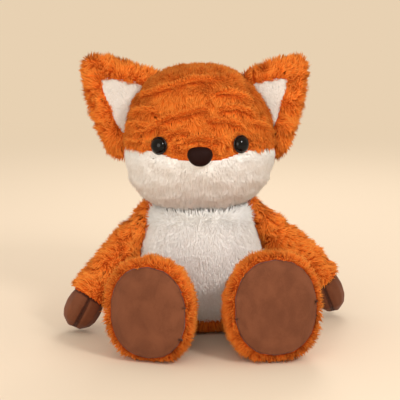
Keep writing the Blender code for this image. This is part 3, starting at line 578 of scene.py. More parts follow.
def cloth_material(name, low, high):
    """The backing that the pile stands on, with painted shade where the pile parts: the low colour in the relief's
    hollows, the high one on its tops.
    """
    material, tree = new_material(name)
    grain = grain_of(tree, 900.0, 120.0, 0.5)
    relief = put(tree, "ShaderNodeAttribute", attribute_name="relief").outputs["Fac"]
    # The low colour, mottled by the grain, is painted shade for the hollows of the relief
    grained_painted_shade = mixed(tree, grain["Mask"], tuple(c * 0.8 for c in low), low)
    surface = surface_of(tree, mixed(tree, relief, grained_painted_shade, high), 0.9, Specular_IOR_Level=0.1)
    bumped(tree, surface, grain["Height"], 0.5, 0.5 * MM)
    return material


def suede_material(name, low, high, edge):
    """Short-pile cloth: fine grain, long streaks where the nap was brushed, and painted shade that darkens it in its
    seams.
    """
    material, tree = new_material(name)
    grain = grain_of(tree, 1400.0, 70.0, 0.35, (1.0, 1.0, 0.75))
    seam = put(tree, "ShaderNodeAttribute", attribute_name="seam").outputs["Fac"]
    # The edge colour is painted shade in the seams
    colour = mixed(tree, ramp(tree, seam, 0.0, 1.6 * MM), edge, mixed(tree, grain["Mask"], low, high))
    surface = surface_of(tree, colour, 0.85, Sheen_Weight=0.2, Sheen_Roughness=0.4, Specular_IOR_Level=0.2)
    bumped(tree, surface, grain["Height"], 0.35, 0.3 * MM)
    return material


def grained_material(name, colour, roughness, fine, broad, bump, **settings):
    """A finish with a faint grain in its colour and its surface."""
    material, tree = new_material(name)
    grain = grain_of(tree, fine, broad, 0.6)
    low, high = tuple(c * 0.85 for c in colour), tuple(c * 1.15 for c in colour)
    surface = surface_of(tree, mixed(tree, grain["Mask"], low, high), roughness, **settings)
    bumped(tree, surface, grain["Height"], bump, 0.2 * MM)
    return material


# A pile's last colour is how dark a lock gets, from its own random tone and from painted shade in the relief's hollows
ORANGE_PILE = pile_material(
    "orange pile", srgb(196, 78, 18), srgb(238, 116, 35), srgb(252, 160, 68), (0.68, 0.52, 0.38)
)
WHITE_PILE = pile_material(
    "white pile", srgb(241, 235, 227), srgb(249, 246, 241), srgb(252, 249, 245), (0.86, 0.83, 0.79)
)
# A cloth's first colour is painted shade in the hollows of its relief, its second the colour on the tops
ORANGE_CLOTH = cloth_material("orange cloth", srgb(190, 72, 16), srgb(232, 110, 32))
WHITE_CLOTH = cloth_material("white cloth", srgb(253, 250, 246), srgb(254, 252, 249))
# The suede's third colour is painted shade in its seams
BROWN_SUEDE = suede_material("brown suede", srgb(99, 55, 33), srgb(119, 69, 44), srgb(64, 32, 19))
EYE_PLASTIC = grained_material(
    "black gloss", (0.002, 0.002, 0.0025), 0.04, 500.0, 80.0, 0.02, Specular_IOR_Level=0.22
)
EYE_RIM = grained_material("dark rim", (0.012, 0.007, 0.005), 0.25, 500.0, 80.0, 0.05)
NOSE_FLOCK = grained_material("brown flock", srgb(31, 10, 7), 0.6, 1800.0, 150.0, 0.25, Specular_IOR_Level=0.1)
FIBREFILL = grained_material("fibrefill", (0.80, 0.80, 0.78), 0.95, 700.0, 90.0, 0.8)
WASHER_PLASTIC = grained_material("white plastic", (0.72, 0.72, 0.69), 0.4, 600.0, 60.0, 0.05)

# What a panel is made of: its slot, its pile and its cloth
ORANGE = ("orange_fur", ORANGE_PILE, ORANGE_CLOTH)
WHITE = ("white_fur", WHITE_PILE, WHITE_CLOTH)


# Pile

PILE_INPUTS = (
    ("Skin", "Geometry"), ("Locks per Square Metre", "Float"), ("Length", "Float"), ("Width", "Float"),
    ("Seed", "Int"), ("Material", "Material"),
)


def pile_tree():
    """Geometry nodes that stand tapered locks on a skin and comb them the way the skin says."""
    tree, given, out = group_tree("Pile", PILE_INPUTS, [("Pile", "Geometry")], "GeometryNodeTree")

    def made(kind, *values, **settings):
        return put(tree, kind, *values, **settings).outputs[0]

    def sum_of(operation, *values):
        return made("ShaderNodeMath", *values, operation=operation)

    def product(first, second):
        return sum_of("MULTIPLY", first, second)

    def scaled(vector, factor):
        return made("ShaderNodeVectorMath", vector, operation="SCALE", Scale=factor)

    def together(first, second):
        return made("ShaderNodeVectorMath", first, second, operation="ADD")

    def named(name, kind="FLOAT"):
        return made("GeometryNodeInputNamedAttribute", name, data_type=kind)

    def keep(geometry, name, value, kind="FLOAT", domain="POINT"):
        return made("GeometryNodeStoreNamedAttribute", data_type=kind, domain=domain, Geometry=geometry,
                    Name=name, Value=value)

    def moved(geometry, offset):
        return made("GeometryNodeSetPosition", Geometry=geometry, Offset=offset)

    def random(low, high, seed, kind="FLOAT"):
        node = put(tree, "FunctionNodeRandomValue", data_type=kind, Seed=seed)
        ends = [s for s in node.inputs if s.name in ("Min", "Max") and s.enabled]
        ends[0].default_value, ends[1].default_value = low, high
        return next(s for s in node.outputs if s.enabled)

    # Roots
    density = product(given["Locks per Square Metre"], named("cover"))
    roots = put(tree, "GeometryNodeDistributePointsOnFaces", distribute_method="RANDOM", Mesh=given["Skin"],
                Density=density, Seed=given["Seed"]).outputs
    shade_seed = sum_of("ADD", given["Seed"], 17.0)
    ruffle_seed = sum_of("ADD", given["Seed"], 31.0)
    reach = product(product(given["Length"], named("length")), random(0.75, 1.15, given["Seed"]))
    points = keep(roots["Points"], "outward", roots["Normal"], "FLOAT_VECTOR")
    points = keep(points, "reach", reach)
    # A lock's shade: a random tone, plus the painted light and shade that the skin's field gives it
    shade = sum_of("MULTIPLY_ADD", random(-0.5, 0.5, shade_seed), 0.45, 0.5)
    points = keep(points, "shade", sum_of("ADD", shade, named("tone")))
    ruffle = random((-1.0, -1.0, -1.0), (1.0, 1.0, 1.0), ruffle_seed, "FLOAT_VECTOR")
    points = keep(points, "ruffle", ruffle, "FLOAT_VECTOR")

    # One lock, a tapered spindle
    lock = made("GeometryNodeMeshCone", fill_type="NGON", Vertices=3, Side_Segments=2, Radius_Top=0.0,
                Radius_Bottom=1.0, Depth=1.0)
    place = put(tree, "ShaderNodeSeparateXYZ", made("GeometryNodeInputPosition")).outputs
    shape = keep(lock, "along", place["Z"])
    shape = keep(shape, "across", place["X"])
    swell = product(product(place["Z"], sum_of("SUBTRACT", 1.0, place["Z"])), 3.2)
    shape = moved(shape, made("ShaderNodeCombineXYZ", product(place["X"], swell), product(place["Y"], swell)))

    # Locks on their roots
    turn = made("FunctionNodeAlignRotationToVector", axis="Z", Vector=roots["Normal"])
    angles = made("ShaderNodeCombineXYZ", Z=random(0.0, 2.0 * math.pi, shade_seed))
    spin = made("FunctionNodeRotateRotation", turn, made("FunctionNodeEulerToRotation", angles),
                rotation_space="LOCAL")
    half_width = product(given["Width"], 0.5)
    size = made("ShaderNodeCombineXYZ", half_width, half_width, reach)
    stand = made("GeometryNodeInstanceOnPoints", Points=points, Instance=shape, Rotation=spin, Scale=size)
    real = made("GeometryNodeRealizeInstances", stand)

    # Combing
    along = named("along")
    lean = together(named("lean", "FLOAT_VECTOR"), scaled(named("ruffle", "FLOAT_VECTOR"), 0.16))
    sideways = scaled(lean, product(sum_of("POWER", along, 1.4), named("reach")))
    steep = put(tree, "ShaderNodeVectorMath", lean, operation="LENGTH").outputs["Value"]
    # It sinks less than it rises at every point, so that its rings never pass each other
    sink = sum_of("MAXIMUM", product(sum_of("POWER", steep, 2.0), -0.5), -MOST_SUNK)
    bend = product(along, sum_of("MULTIPLY_ADD", along, BEND_SHARE, 1.0 - BEND_SHARE))
    sink = product(sink, product(bend, named("reach")))
    combed = moved(real, together(sideways, scaled(named("outward", "FLOAT_VECTOR"), sink)))

    # Chart and finish
    wide = sum_of("MULTIPLY_ADD", named("across"), 0.01, named("shade"))
    wide = sum_of("MINIMUM", sum_of("MAXIMUM", wide, 0.02), 0.98)
    chart = made("ShaderNodeCombineXYZ", sum_of("MULTIPLY_ADD", along, 0.96, 0.02), wide)
    smooth = made("GeometryNodeSetShadeSmooth", keep(combed, "OFBake", chart, "FLOAT2", "CORNER"))
    finished = made("GeometryNodeSetMaterial", Geometry=smooth, Material=given["Material"])
    feed(tree, out.inputs["Pile"], finished)
    return tree


PILE_TREE = pile_tree()


def pile_on(skin, name, material, density, length, seed):
    """Locks of pile on a skin, as one mesh, pressed flat where they meet the table."""
    grown = placed(name, skin.data.copy())
    modifier = grown.modifiers.new("pile", "NODES")
    modifier.node_group = PILE_TREE
    sockets = {s.name: s.identifier for s in PILE_TREE.interface.items_tree if s.in_out == "INPUT"}
    values = {
        "Locks per Square Metre": density, "Length": length, "Width": LOCK_WIDTH, "Seed": seed, "Material": material,
    }
    for key, value in values.items():
        modifier[sockets[key]] = value
    applied(grown)
    outward = np.zeros(len(grown.data.vertices) * 3, dtype=np.float32)
    grown.data.attributes["outward"].data.foreach_get("vector", outward)
    for attribute in [a.name for a in grown.data.attributes if not a.is_required]:
        if attribute not in ("OFBake", "sharp_face", "material_index"):
            grown.data.attributes.remove(grown.data.attributes[attribute])
    points, own = points_of(grown)
    points[:, 2] = np.maximum(points[:, 2], PILE_FLOOR)
    move_points(grown, points)
    facing = unit(outward.reshape(-1, 3) * NAP_EVENNESS + own)
    grown.data.normals_split_custom_set_from_vertices(facing.tolist())
    return grown


# Combing: each way gives the lean of the pile, the relief under it and the tone of its colour, which carries painted
# light on raised pile and painted shade in its hollows

def crested(points, normals, phase, reach, flow, strength, swirl=0.3):
    """Pile drawn together into raised crests, one at each whole number of the phase."""
    side = unit(np.cross(normals, UP + np.array([0.0, 0.01, 0.0])))
    rise = np.cross(side, normals)
    nudge = 0.5 * MM
    centre = phase(points)
    along_side = (phase(points + side * nudge) - phase(points - side * nudge)) / (2 * nudge)
    along_rise = (phase(points + rise * nudge) - phase(points - rise * nudge)) / (2 * nudge)
    slope = side * along_side[:, None] + rise * along_rise[:, None]
    steep = np.maximum(np.linalg.norm(slope, axis=1), 40.0)
    off = centre - np.round(centre)
    towards = slope / steep[:, None] * -np.sign(off)[:, None]
    pull = np.minimum(np.abs(off) / steep / reach, 0.85) * strength
    lean = towards * pull[:, None] + tangent(flow, normals) * (1.0 - 0.6 * strength)[:, None]
    lean += np.cross(normals, towards) * (swirl * strength)[:, None]
    relief = strength * (1.0 - 2.0 * np.abs(off)) ** 1.4 + (1.0 - strength) * 0.55
    return lean, relief, off


def curly(points, normals, size, reach, flow, seed, strength=0.75):
    """Pile in short curling crests of about the size, and swirls between them."""
    def phase(places):
        warped = places + noise_vectors(places, 1.6 * size, seed + 4.0) * (0.35 * size)
        return noise_at(warped, 2.1 * size, seed) * 2.1

    power = np.full(len(points), strength)
    swirls = flow + noise_vectors(points, 2.2 * size, seed + 2.0) * 2.2
    lean, relief, _ = crested(points, normals, phase, reach, swirls, power)
    # Painted light on the curls' crests and painted shade between them, with a little random tone
    tone = 0.75 * (relief - 0.25) + 0.12 * noise_at(points, 3.0 * size, seed + 9.0)
    return lean, relief, tone


def soft_white(points, normals, flow, seed):
    """Short dense pile that lies one way, in faint waves."""
    drift = tangent(noise_vectors(points, 11 * MM, seed), normals) * 0.2
    wave = noise_at(points, 9 * MM, seed + 3.0)
    lean = tangent(flow, normals) + drift
    relief = 0.8 + 0.2 * np.clip(wave * 1.6, -1.0, 1.0)
    # The tone is lighter where the waves rise: painted light
    return lean, relief, 0.15 * wave + 0.2


def dress(skin, nodes, made_of, fur, field, seed, cover, own_length):
    """Raises a skin's relief, grows its pile, and finishes its cloth, hiding the nodes that it stands for."""
    slot_name, pile_finish, cloth_finish = made_of
    density, length, relief_height = fur
    points, normals = points_of(skin)
    lean, relief, tone = field
    raised = points + normals * (relief * relief_height * own_length)[:, None]
    raised[:, 2] = np.maximum(raised[:, 2], SKIN_FLOOR)
    move_points(skin, raised)
    values = {"lean": lean, "relief": relief, "tone": tone, "cover": cover, "length": own_length}
    for key, value in values.items():
        store(skin, key, value)
    pile = pile_on(skin, nodes[0] + "_pile", pile_finish, density, length, seed)
    for key in ("lean", "tone", "cover", "length"):
        skin.data.attributes.remove(skin.data.attributes[key])
    thickened(skin)
    sewn(skin, nodes, cloth_finish)
    return skin, pile


def sewn(skin, nodes, material):
    """Gives a stuffed skin its material and hides the nodes that it stands for."""
    skin.data.materials.clear()
    skin.data.materials.append(material)
    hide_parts(*nodes)


def blended(pieces, joint_name, before, after):
    """Lets pieces bend across a joint, from before the joint to past it."""
    joint = JOINTS[joint_name]
    pivot, axis = Vector(joint["pos_m"]), Vector(joint["axis"]).normalized()
    for piece in pieces:
        points, _ = points_of(piece)
        outward = Vector(points.mean(0)) - pivot
        outward = (outward - axis * outward.dot(axis)).normalized()
        start, end = pivot - outward * before, pivot + outward * after
        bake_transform(piece, joint["parent"], joint["child"], start=tuple(start), end=tuple(end))


def riding(pieces, body_name):
    for piece in pieces:
        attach(piece, body_name)


def short_on_table(points):
    """How far the pile stands, from short at the table to its full length."""
    return np.clip(points[:, 2] / (8 * MM), 0.4, 1.0)


# Head

def face_axis(node, washer, top):
    """Where a post goes through the face, and which way it points."""
    disc, _ = points_of(frame["nodes"][washer])
    middle = disc.mean(0)
    _, vectors = np.linalg.eigh(np.cov((disc - middle).T))
    axis = vectors[:, 0]
    solid, _ = points_of(frame["nodes"][node])
    if (solid.mean(0) - middle) @ axis < 0:
        axis = -axis
    apex = ((solid - middle) @ axis).max()
    return middle + axis * (apex - top), axis


FEATURES = {
    "eye_left": face_axis("eye_left", "eye_washer_left", EYE_TOP),
    "eye_right": face_axis("eye_right", "eye_washer_right", EYE_TOP),
    "nose": face_axis("nose", "nose_washer", NOSE_TOP),
}


def head_round(points):
    """How far up the head's round a point is, measured over its top from the front."""
    back, level = HEAD_CENTRE
    return np.arctan2(points[:, 2] - level, -(points[:, 1] - back)) * HEAD_ROUND


def clear_of_features(points):
    """How far each point is outside the rims of the eyes and the nose."""
    away = []
    for name, (place, axis) in FEATURES.items():
        off = points - place
        flat = off - np.outer(off @ axis, axis)
        if name == "nose":
            away.append(np.linalg.norm(flat * NOSE_CLEAR_STRETCH, axis=1) - NOSE_CLEAR_RADIUS)
        else:
            away.append(np.linalg.norm(flat, axis=1) - EYE_RIM_RADIUS)
    front = points[:, 1] < -0.03
    return np.where(front, np.min(away, axis=0), 1.0)


def forehead(points, normals):
    """Long crests across the forehead, and curls round the eyes and the nose."""
    def phase(places):
        warped = places + noise_vectors(places, 22 * MM, 3.0) * (5.0 * MM) + noise_vectors(places, 8 * MM, 5.0) * MM
        return head_round(warped) / CREST_SPACING

    up_round = head_round(points)
    flow = everywhere((0.0, -0.4, -1.1), points) + noise_vectors(points, 9 * MM, 17.0) * 1.2
    strength = np.clip(0.45 + noise_at(points, 16 * MM, 7.0), 0.0, 0.8)
    front = step(-points[:, 1], 0.0, 30 * MM)
    strength *= 1.0 - 0.8 * front
    lean, relief, off = crested(points, normals, phase, FACE_PILE, flow, strength, 0.15)
    # Painted light on the crests' tops and painted shade just beneath them
    tone = 0.35 * (relief - 0.5) - 0.25 * bell(off, -0.2, 0.12) * strength

    low = step(-up_round, -22 * MM, -8 * MM) * front
    curl_lean, curl_relief, curl_tone_and_painted_light = curly(points, normals, 5.0 * MM, FACE_PILE, flow, 14.0, 0.8)
    lean, relief = blend_of(lean, curl_lean, low), blend_of(relief, curl_relief, low)
    tone = tone * (1.0 - low) + curl_tone_and_painted_light * 0.8 * low

    rise = unit(tangent(everywhere((0.0, 0.35, 1.0), points), normals))
    wobble = noise_at(points, 7 * MM, 21.0) * (1.1 * MM)
    for line in FOREHEAD_CRESTS:
        across, level = np.array(line).T * MM
        ends = step(points[:, 0], across[0] - 4 * MM, across[0] + 3 * MM)
        ends *= step(-points[:, 0], -across[-1] - 4 * MM, -across[-1] + 3 * MM)
        gap = up_round - np.interp(points[:, 0], across, level) + wobble
        near = ends * step(-np.abs(gap), -4.2 * MM, -1.8 * MM) * (points[:, 1] < -0.004)
        pull = -np.clip(gap / FACE_PILE, -0.8, 0.8)
        lean = lean * (1.0 - near)[:, None] + rise * (pull * near)[:, None]
        height = np.clip(1.0 - np.abs(gap) / CREST_HALF_WIDTH, 0.0, 1.0)
        # A painted highlight along the crest line and a painted shadow just beneath it
        shade = 1.5 * height - 0.1 - 0.6 * bell(gap, -2.8 * MM, 0.9 * MM)
        relief, tone = blend_of(relief, 0.25 + 1.35 * height, near), blend_of(tone, shade, near)
    upright = step(normals[:, 2], 0.6, 0.95)
    lean *= (1.0 - 0.6 * upright)[:, None]
    relief += upright * (0.5 + 0.7 * noise_at(points, 9 * MM, 27.0))
    # Everything a little darker, against the painted light of the crests
    return lean, relief, tone - 0.1


def head():
    panels = ["head_face_panel", "cheek_left", "cheek_right", "head_back_panel"]
    form = swollen(stuffed("head_form", panels + ["head_stuffing"], FINE_VOXEL, 14), panels)
    for seed, (panel, skin) in enumerate(parted(form, panels).items()):
        points, normals = points_of(skin)
        away = clear_of_features(points)
        own_length = 0.35 + 0.65 * step(away, 0.5 * MM, 6 * MM)
        cover = (away > -0.6 * MM) * 1.0
        if panel == "head_face_panel":
            lean, relief, tone = forehead(points, normals)
            edge = bell(seam_of(skin), 0.0, 5 * MM) * (points[:, 2] < 0.20)
            temple = step(np.abs(points[:, 0]), 42 * MM, 56 * MM)
            level = everywhere((0.0, 0.0, 0.45), points)
            level[:, 2] -= 1.6 * temple
            level[:, 0] = np.sign(points[:, 0]) * 0.6 * (1.0 - temple)
            field = blend_of(lean, tangent(level, normals), edge), relief, tone
            own_length *= 1.0 - (0.4 - 0.55 * temple) * edge
            made_of, fur = ORANGE, FACE_FUR
        elif panel == "head_back_panel":
            own_length *= 1.0 + 0.9 * step(-normals[:, 2], 0.3, 0.9)
            made_of, fur, field = ORANGE, NAPE_FUR, forehead(points, normals)
        else:
            flow = everywhere((0.0, 0.0, -1.0), points)
            flow[:, 0] = points[:, 0] * 8.0
            own_length *= 1.0 + 0.95 * step(-normals[:, 2], 0.1, 1.0)
            made_of, fur, field = WHITE, CHEEK_FUR, soft_white(points, normals, flow, 4.0)
        riding(dress(skin, [panel], made_of, fur, field, seed, cover, own_length), "head")


# Body

BODY_PANELS = ["belly_panel", "back_panel", "seat_panel"]


def body():
    form = swollen(stuffed("body_form", BODY_PANELS + ["body_stuffing"], FUR_VOXEL, 10), BODY_PANELS)
    for seed, (panel, skin) in enumerate(parted(form, BODY_PANELS).items()):
        points, normals = points_of(skin)
        white = panel == "belly_panel"
        cover = (points[:, 2] > 2.5 * MM) * 1.0
        # Under the chin the pile stands up and is longer
        collar = step(points[:, 2], 0.099, 0.118)
        own_length = short_on_table(points) * (1.0 + (1.0 if white else 0.8) * collar)
        flow = everywhere((0.0, 0.0, -1.0), points) * (1.0 - 1.4 * collar)[:, None]
        if white:
            lean, relief, tone = soft_white(points, normals, flow, 12.0)
            made_of, fur, field = WHITE, BELLY_FUR, (lean, relief - 0.35 * collar, tone)
        else:
            made_of, fur = ORANGE, BACK_FUR
            field = curly(points, normals, 7.5 * MM, BACK_PILE, flow, 11.0)
        riding(dress(skin, [panel], made_of, fur, field, 20 + seed, cover, own_length), "root")


# Ears

def ears():
    for seed, side in enumerate(SIDES):
        shell, lining = f"ear_{side}_shell", f"ear_{side}_lining"
        form = stuffed("ear_form", [shell, lining], FINE_VOXEL, 5)
        for node, skin in parted(form, [shell, lining], 0.6 * MM).items():
            points, normals = points_of(skin)
            from_head = distances(points, ["head_face_panel", "head_back_panel", "cheek_left", "cheek_right"])
            cover = (from_head > 1.0 * MM) * 1.0
            own_length = 0.6 + 0.4 * step(seam_of(skin), 0.0, 5 * MM)
            if node == lining:
                lean, relief, tone = soft_white(points, normals, everywhere((0.0, 0.0, 0.9), points), 33.0 + seed)
                made_of, fur, field = WHITE, LINING_FUR, (lean, relief, tone - 0.8)
            else:
                middle = np.array(sum(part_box(shell), Vector()) / 2)
                outward = (points - middle) * np.array([1.0, 0.3, 1.0])
                made_of, fur = ORANGE, EAR_FUR
                field = curly(points, normals, 7.0 * MM, EAR_PILE, unit(outward) * 0.9, 30.0 + seed)
            pieces = dress(skin, [node], made_of, fur, field, 40 + seed, cover, own_length)
            blended(pieces, f"ear_{side}_fold", 2 * MM, 22 * MM)


# Limbs and tail

def heading(node, towards):
    """The way from the middle of one node to the middle of another."""
    way = sum(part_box(towards), Vector()) / 2 - sum(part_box(node), Vector()) / 2
    return np.array(way.normalized())


def sleeved(skin, nodes, way, size, fur, seed, near_suede, under=0.0, rim=0.0):
    """Curly pile on a sleeve, short on the table, longer by under below, and over the suede's edge by rim."""
    points, normals = points_of(skin)
    from_body = distances(points, BODY_PANELS)
    seam = seam_of(skin)
    off_seam = seam > (0.0 if rim else 0.5 * MM)
    cover = (from_body > BODY_CLEARANCE) * (points[:, 2] > BARE_LEVEL) * off_seam * 1.0
    own_length = short_on_table(points) * (0.55 + 0.45 * step(seam, 0.0, near_suede))
    own_length *= 1.0 + under * step(-normals[:, 2], 0.0, 0.7) * step(points[:, 2], 30 * MM, 50 * MM)
    lean, relief, tone = curly(points, normals, size, LIMB_PILE, everywhere(way, points), seed)
    over = rim * bell(seam, 0.0, 6 * MM)
    forward = tangent(everywhere(way, points) * -0.9 + noise_vectors(points, 5 * MM, seed + 6.0) * 1.1, normals)
    own_length *= 1.0 + 0.15 * over
    relief *= 1.0 - rim * bell(seam, 0.0, 2.5 * MM)
    field = blend_of(lean, forward, over), relief, tone + 0.15
    return dress(skin, nodes, ORANGE, fur, field, seed, cover, own_length)


def suede(sheet, node, body_name):
    thickened(sheet)
    sewn(sheet, [node], BROWN_SUEDE)
    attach(sheet, body_name)


def arms():
    for seed, side in enumerate(SIDES):
        sleeve, core = f"arm_{side}_sleeve", f"arm_{side}_stuffing"
        paws = [f"paw_{side}_outer", f"paw_{side}_inner"]
        form = swollen(stuffed("arm_form", [sleeve, core] + paws, FINE_VOXEL, 6), [sleeve] + paws)
        sheets = parted(form, [sleeve] + paws, 0.7 * MM)
        way = heading(sleeve, paws[0]) * 0.8
        pieces = sleeved(sheets[sleeve], [sleeve, core], way, 7.0 * MM, ARM_FUR, 60 + seed, 4 * MM, 0.6)
        blended(pieces, f"arm_{side}_raise", 4 * MM, 24 * MM)
        for paw in paws:
            suede(sheets[paw], paw, f"arm_{side}")


def legs():
    for seed, side in enumerate(SIDES):
        sleeve, core, sole = f"leg_{side}_sleeve", f"leg_{side}_stuffing", f"sole_{side}"
        form = swollen(stuffed("leg_form", [sleeve, core, sole], FUR_VOXEL, 6), [sleeve, sole])
        sheets = parted(form, [sleeve, sole], 1.2 * MM, {sole: SOLE_TURN_IN})
        way = heading(sleeve, sole) * -0.9
        pieces = sleeved(sheets[sleeve], [sleeve, core], way, 7.5 * MM, LEG_FUR, 80 + seed, 5 * MM, rim=0.8)
        blended(pieces, f"leg_{side}_drop", 5 * MM, 40 * MM)
        suede(sheets[sole], sole, f"leg_{side}")


def tail():
    panels = ["tail_sleeve", "tail_tip"]
    form = swollen(stuffed("tail_form", panels + ["tail_stuffing"], FUR_VOXEL, 6), panels)
    for seed, (panel, skin) in enumerate(parted(form, panels, 0.5 * MM).items()):
        points, normals = points_of(skin)
        from_body = distances(points, BODY_PANELS)
        cover = (from_body > BODY_CLEARANCE) * (points[:, 2] > BARE_LEVEL) * 1.0
        flow = everywhere((0.0, 1.0, 0.0), points)
        if panel == "tail_tip":
            made_of, nodes, field = WHITE, [panel], soft_white(points, normals, flow, 90.0)
        else:
            made_of, nodes = ORANGE, [panel, "tail_stuffing"]
            field = curly(points, normals, 8.5 * MM, TAIL_PILE, flow, 90.0)
        pieces = dress(skin, nodes, made_of, TAIL_FUR, field, 90 + seed, cover, short_on_table(points))
        blended(pieces, "tail_lift", 3 * MM, 30 * MM)


# Eyes and nose

def lathed(name, profile, place, axis, sides, materials, bands):
    """A round part turned about its axis. Bands give the material of each ring of faces."""
    turn = Vector(axis).to_track_quat("Z", "X").to_matrix().to_4x4()
    work = bmesh.new()
    rings = []
    for radius, level in profile:
        if radius == 0.0:
            rings.append([work.verts.new((0.0, 0.0, level))])
        else:
            angles = [2 * math.pi * k / sides for k in range(sides)]
            rings.append([work.verts.new((radius * math.cos(a), radius * math.sin(a), level)) for a in angles])
    for band, (low, high) in enumerate(zip(rings, rings[1:])):
        for k in range(sides):
            corners = [low[k % len(low)], low[(k + 1) % len(low)], high[(k + 1) % len(high)], high[k % len(high)]]
            face = work.faces.new(list(dict.fromkeys(corners)))
            face.material_index = bands[band]
    bmesh.ops.recalc_face_normals(work, faces=work.faces)
    bmesh.ops.transform(work, matrix=Matrix.Translation(place) @ turn, verts=work.verts)
    obj = placed(name, as_mesh(work, name))
    for material in materials:
        obj.data.materials.append(material)
    return obj


def fitted(obj, node):
    """Puts a feature of the face in its node's place."""
    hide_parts(node)
    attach(obj, "head")


def eyes():
    """Safety eyes: a glossy dome in a thin rim, on a post through the face."""
    for side in SIDES:
        name = f"eye_{side}"
        place, axis = FEATURES[name]
        solid, _ = points_of(frame["nodes"][name])
        foot = ((solid - place) @ axis).min()
        angles = [math.radians(a) for a in range(0, 90, 8)]
        dome = [(EYE_RADIUS * math.cos(a), EYE_SINK + (EYE_HEIGHT - EYE_SINK) * math.sin(a)) for a in angles]
        rim = [
            (EYE_RIM_RADIUS * 0.93, 0.35 * MM), (EYE_RIM_RADIUS, 0.7 * MM), (EYE_RIM_RADIUS, 1.3 * MM),
            (EYE_RIM_RADIUS * 0.97, 1.7 * MM), (EYE_RADIUS + 0.1 * MM, 1.6 * MM),
        ]
        post = [(0.0, foot), (POST_RADIUS, foot), (POST_RADIUS, 0.35 * MM)]
        profile = post + rim + dome + [(0.0, EYE_HEIGHT)]
        bands = [1] * (len(post) + len(rim) - 1) + [0] * (len(dome) + 1)
        eye = lathed(name + "_dome", profile, place, axis, EYE_SIDES, (EYE_PLASTIC, EYE_RIM), bands)
        fitted(eye, name)


def nose():
    """A flocked nose, a rounded triangle that domes forward."""
    place, axis = (Vector(v) for v in FEATURES["nose"])
    work = bmesh.new()
    rings = []
    count = len(NOSE_OUTLINE)
    for share, level_share in NOSE_DOME:
        level = 0.2 * MM + (NOSE_TOP + 0.4 * MM) * level_share
        rings.append([
            work.verts.new((-u * NOSE_HALF_WIDTH * share, level, v * NOSE_HALF_HEIGHT * share + 0.5 * MM * level_share))
            for u, v in NOSE_OUTLINE
        ])
    for low, high in zip(rings, rings[1:]):
        for k in range(count):
            work.faces.new((low[k], low[(k + 1) % count], high[(k + 1) % count], high[k]))
    top = work.verts.new((0.0, NOSE_TOP + 0.6 * MM, 0.5 * MM))
    for k in range(count):
        work.faces.new((rings[-1][k], rings[-1][(k + 1) % count], top))
    work.faces.new(rings[0])
    turn = Matrix((Vector((-1.0, 0.0, 0.0)), axis, axis.cross(Vector((1.0, 0.0, 0.0))))).transposed().to_4x4()
    bmesh.ops.transform(work, matrix=Matrix.Translation(place) @ turn, verts=work.verts)
    bmesh.ops.recalc_face_normals(work, faces=work.faces)
    obj = placed("nose_dome", as_mesh(work, "nose_dome"))
    subdivide = obj.modifiers.new("round", "SUBSURF")
    subdivide.levels = subdivide.render_levels = 2
    applied(obj)
    obj.data.shade_smooth()
    obj.data.materials.append(NOSE_FLOCK)
    fitted(obj, "nose")


def inner_nodes():
    """The fibrefill and the washers inside keep their solids and get their finish."""
    for name, obj in frame["nodes"].items():
        material = FIBREFILL if name.endswith("_stuffing") else WASHER_PLASTIC
        obj.data.materials.clear()
        obj.data.materials.append(material)


# Stage

TABLE = srgb(226, 208, 184)
TABLE_RADIUS = 6.0
BACKGROUND = srgb(232, 209, 178)
TABLE_NEAR, TABLE_FAR = 0.45, 1.7  # from where to where the table fades into the background
WORLD_LIGHT, WORLD_STRENGTH = (1.0, 0.96, 0.91), 0.85
LAMP_AIM = (0.0, 0.0, 0.12)
# Name, place, width, power and colour
LAMPS = (
    ("window lamp", (0.75, -1.1, 0.95), 0.34, 9.0, (1.0, 0.98, 0.96)),
    ("room lamp", (-0.6, -1.3, 0.4), 0.9, 6.7, (1.0, 0.94, 0.87)),
    ("back lamp", (0.2, 1.1, 1.0), 0.6, 6.0, (1.0, 0.95, 0.90)),
)


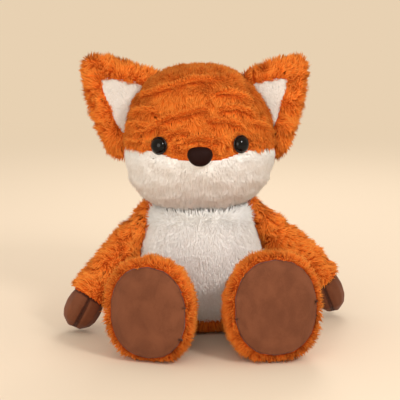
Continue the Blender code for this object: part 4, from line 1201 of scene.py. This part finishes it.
def table():
    material, tree = new_material("pale table")
    surface = surface_of(tree, TABLE, 0.7, Specular_IOR_Level=0.2)
    place = put(tree, "ShaderNodeTexCoord").outputs["Object"]
    away = put(tree, "ShaderNodeVectorMath", place, operation="LENGTH").outputs["Value"]
    camera_ray = put(tree, "ShaderNodeLightPath").outputs["Is Camera Ray"]
    seen = put(tree, "ShaderNodeMath", ramp(tree, away, TABLE_NEAR, TABLE_FAR), camera_ray, operation="MULTIPLY")
    far = put(tree, "ShaderNodeEmission", Color=BACKGROUND, Strength=1.0)
    both = put(tree, "ShaderNodeMixShader", seen.outputs[0], surface.outputs["BSDF"], far.outputs[0])
    output = next(node for node in tree.nodes if node.type == "OUTPUT_MATERIAL")
    feed(tree, output.inputs["Surface"], both.outputs[0])
    work = bmesh.new()
    bmesh.ops.create_circle(work, cap_ends=True, segments=64, radius=TABLE_RADIUS)
    floor = placed("table", as_mesh(work, "table"))
    floor.data.materials.append(material)


def light():
    """Even light all round, as bright as white, and three soft lamps."""
    world = bpy.context.scene.world or bpy.data.worlds.new("World")
    bpy.context.scene.world = world
    world.use_nodes = True
    tree = world.node_tree
    tree.nodes.clear()
    even = put(tree, "ShaderNodeBackground", Color=WORLD_LIGHT, Strength=WORLD_STRENGTH)
    seen = put(tree, "ShaderNodeBackground", Color=BACKGROUND, Strength=1.0)
    rays = put(tree, "ShaderNodeLightPath").outputs
    either = put(tree, "ShaderNodeMath", rays["Is Camera Ray"], rays["Is Glossy Ray"], operation="MAXIMUM")
    any_ray = put(tree, "ShaderNodeMath", either.outputs[0], rays["Is Transmission Ray"], operation="MAXIMUM")
    mix = put(tree, "ShaderNodeMixShader", any_ray.outputs[0], even.outputs[0], seen.outputs[0])
    put(tree, "ShaderNodeOutputWorld", mix.outputs[0])
    for name, place, size, power, colour in LAMPS:
        lamp = bpy.data.lights.new(name, "AREA")
        lamp.shape = "DISK"
        lamp.size = size
        lamp.energy = power
        lamp.color = colour
        aimed(name, lamp, place, LAMP_AIM)


def aimed(name, data, place, at):
    """A lamp or a camera in its place, turned to what it aims at."""
    made = placed(name, data)
    made.location = place
    made.rotation_euler = (Vector(at) - Vector(place)).to_track_quat("-Z", "Y").to_euler()
    return made


def camera():
    data = bpy.data.cameras.new("camera")
    data.lens = CAMERA_LENS
    data.sensor_width = SENSOR_WIDTH
    bpy.context.scene.camera = aimed("camera", data, CAMERA_PLACE, CAMERA_AIM)
    bpy.context.scene.view_settings.view_transform = "Standard"


camera()
table()
light()
inner_nodes()
head()
body()
ears()
arms()
legs()
tail()
eyes()
nose()
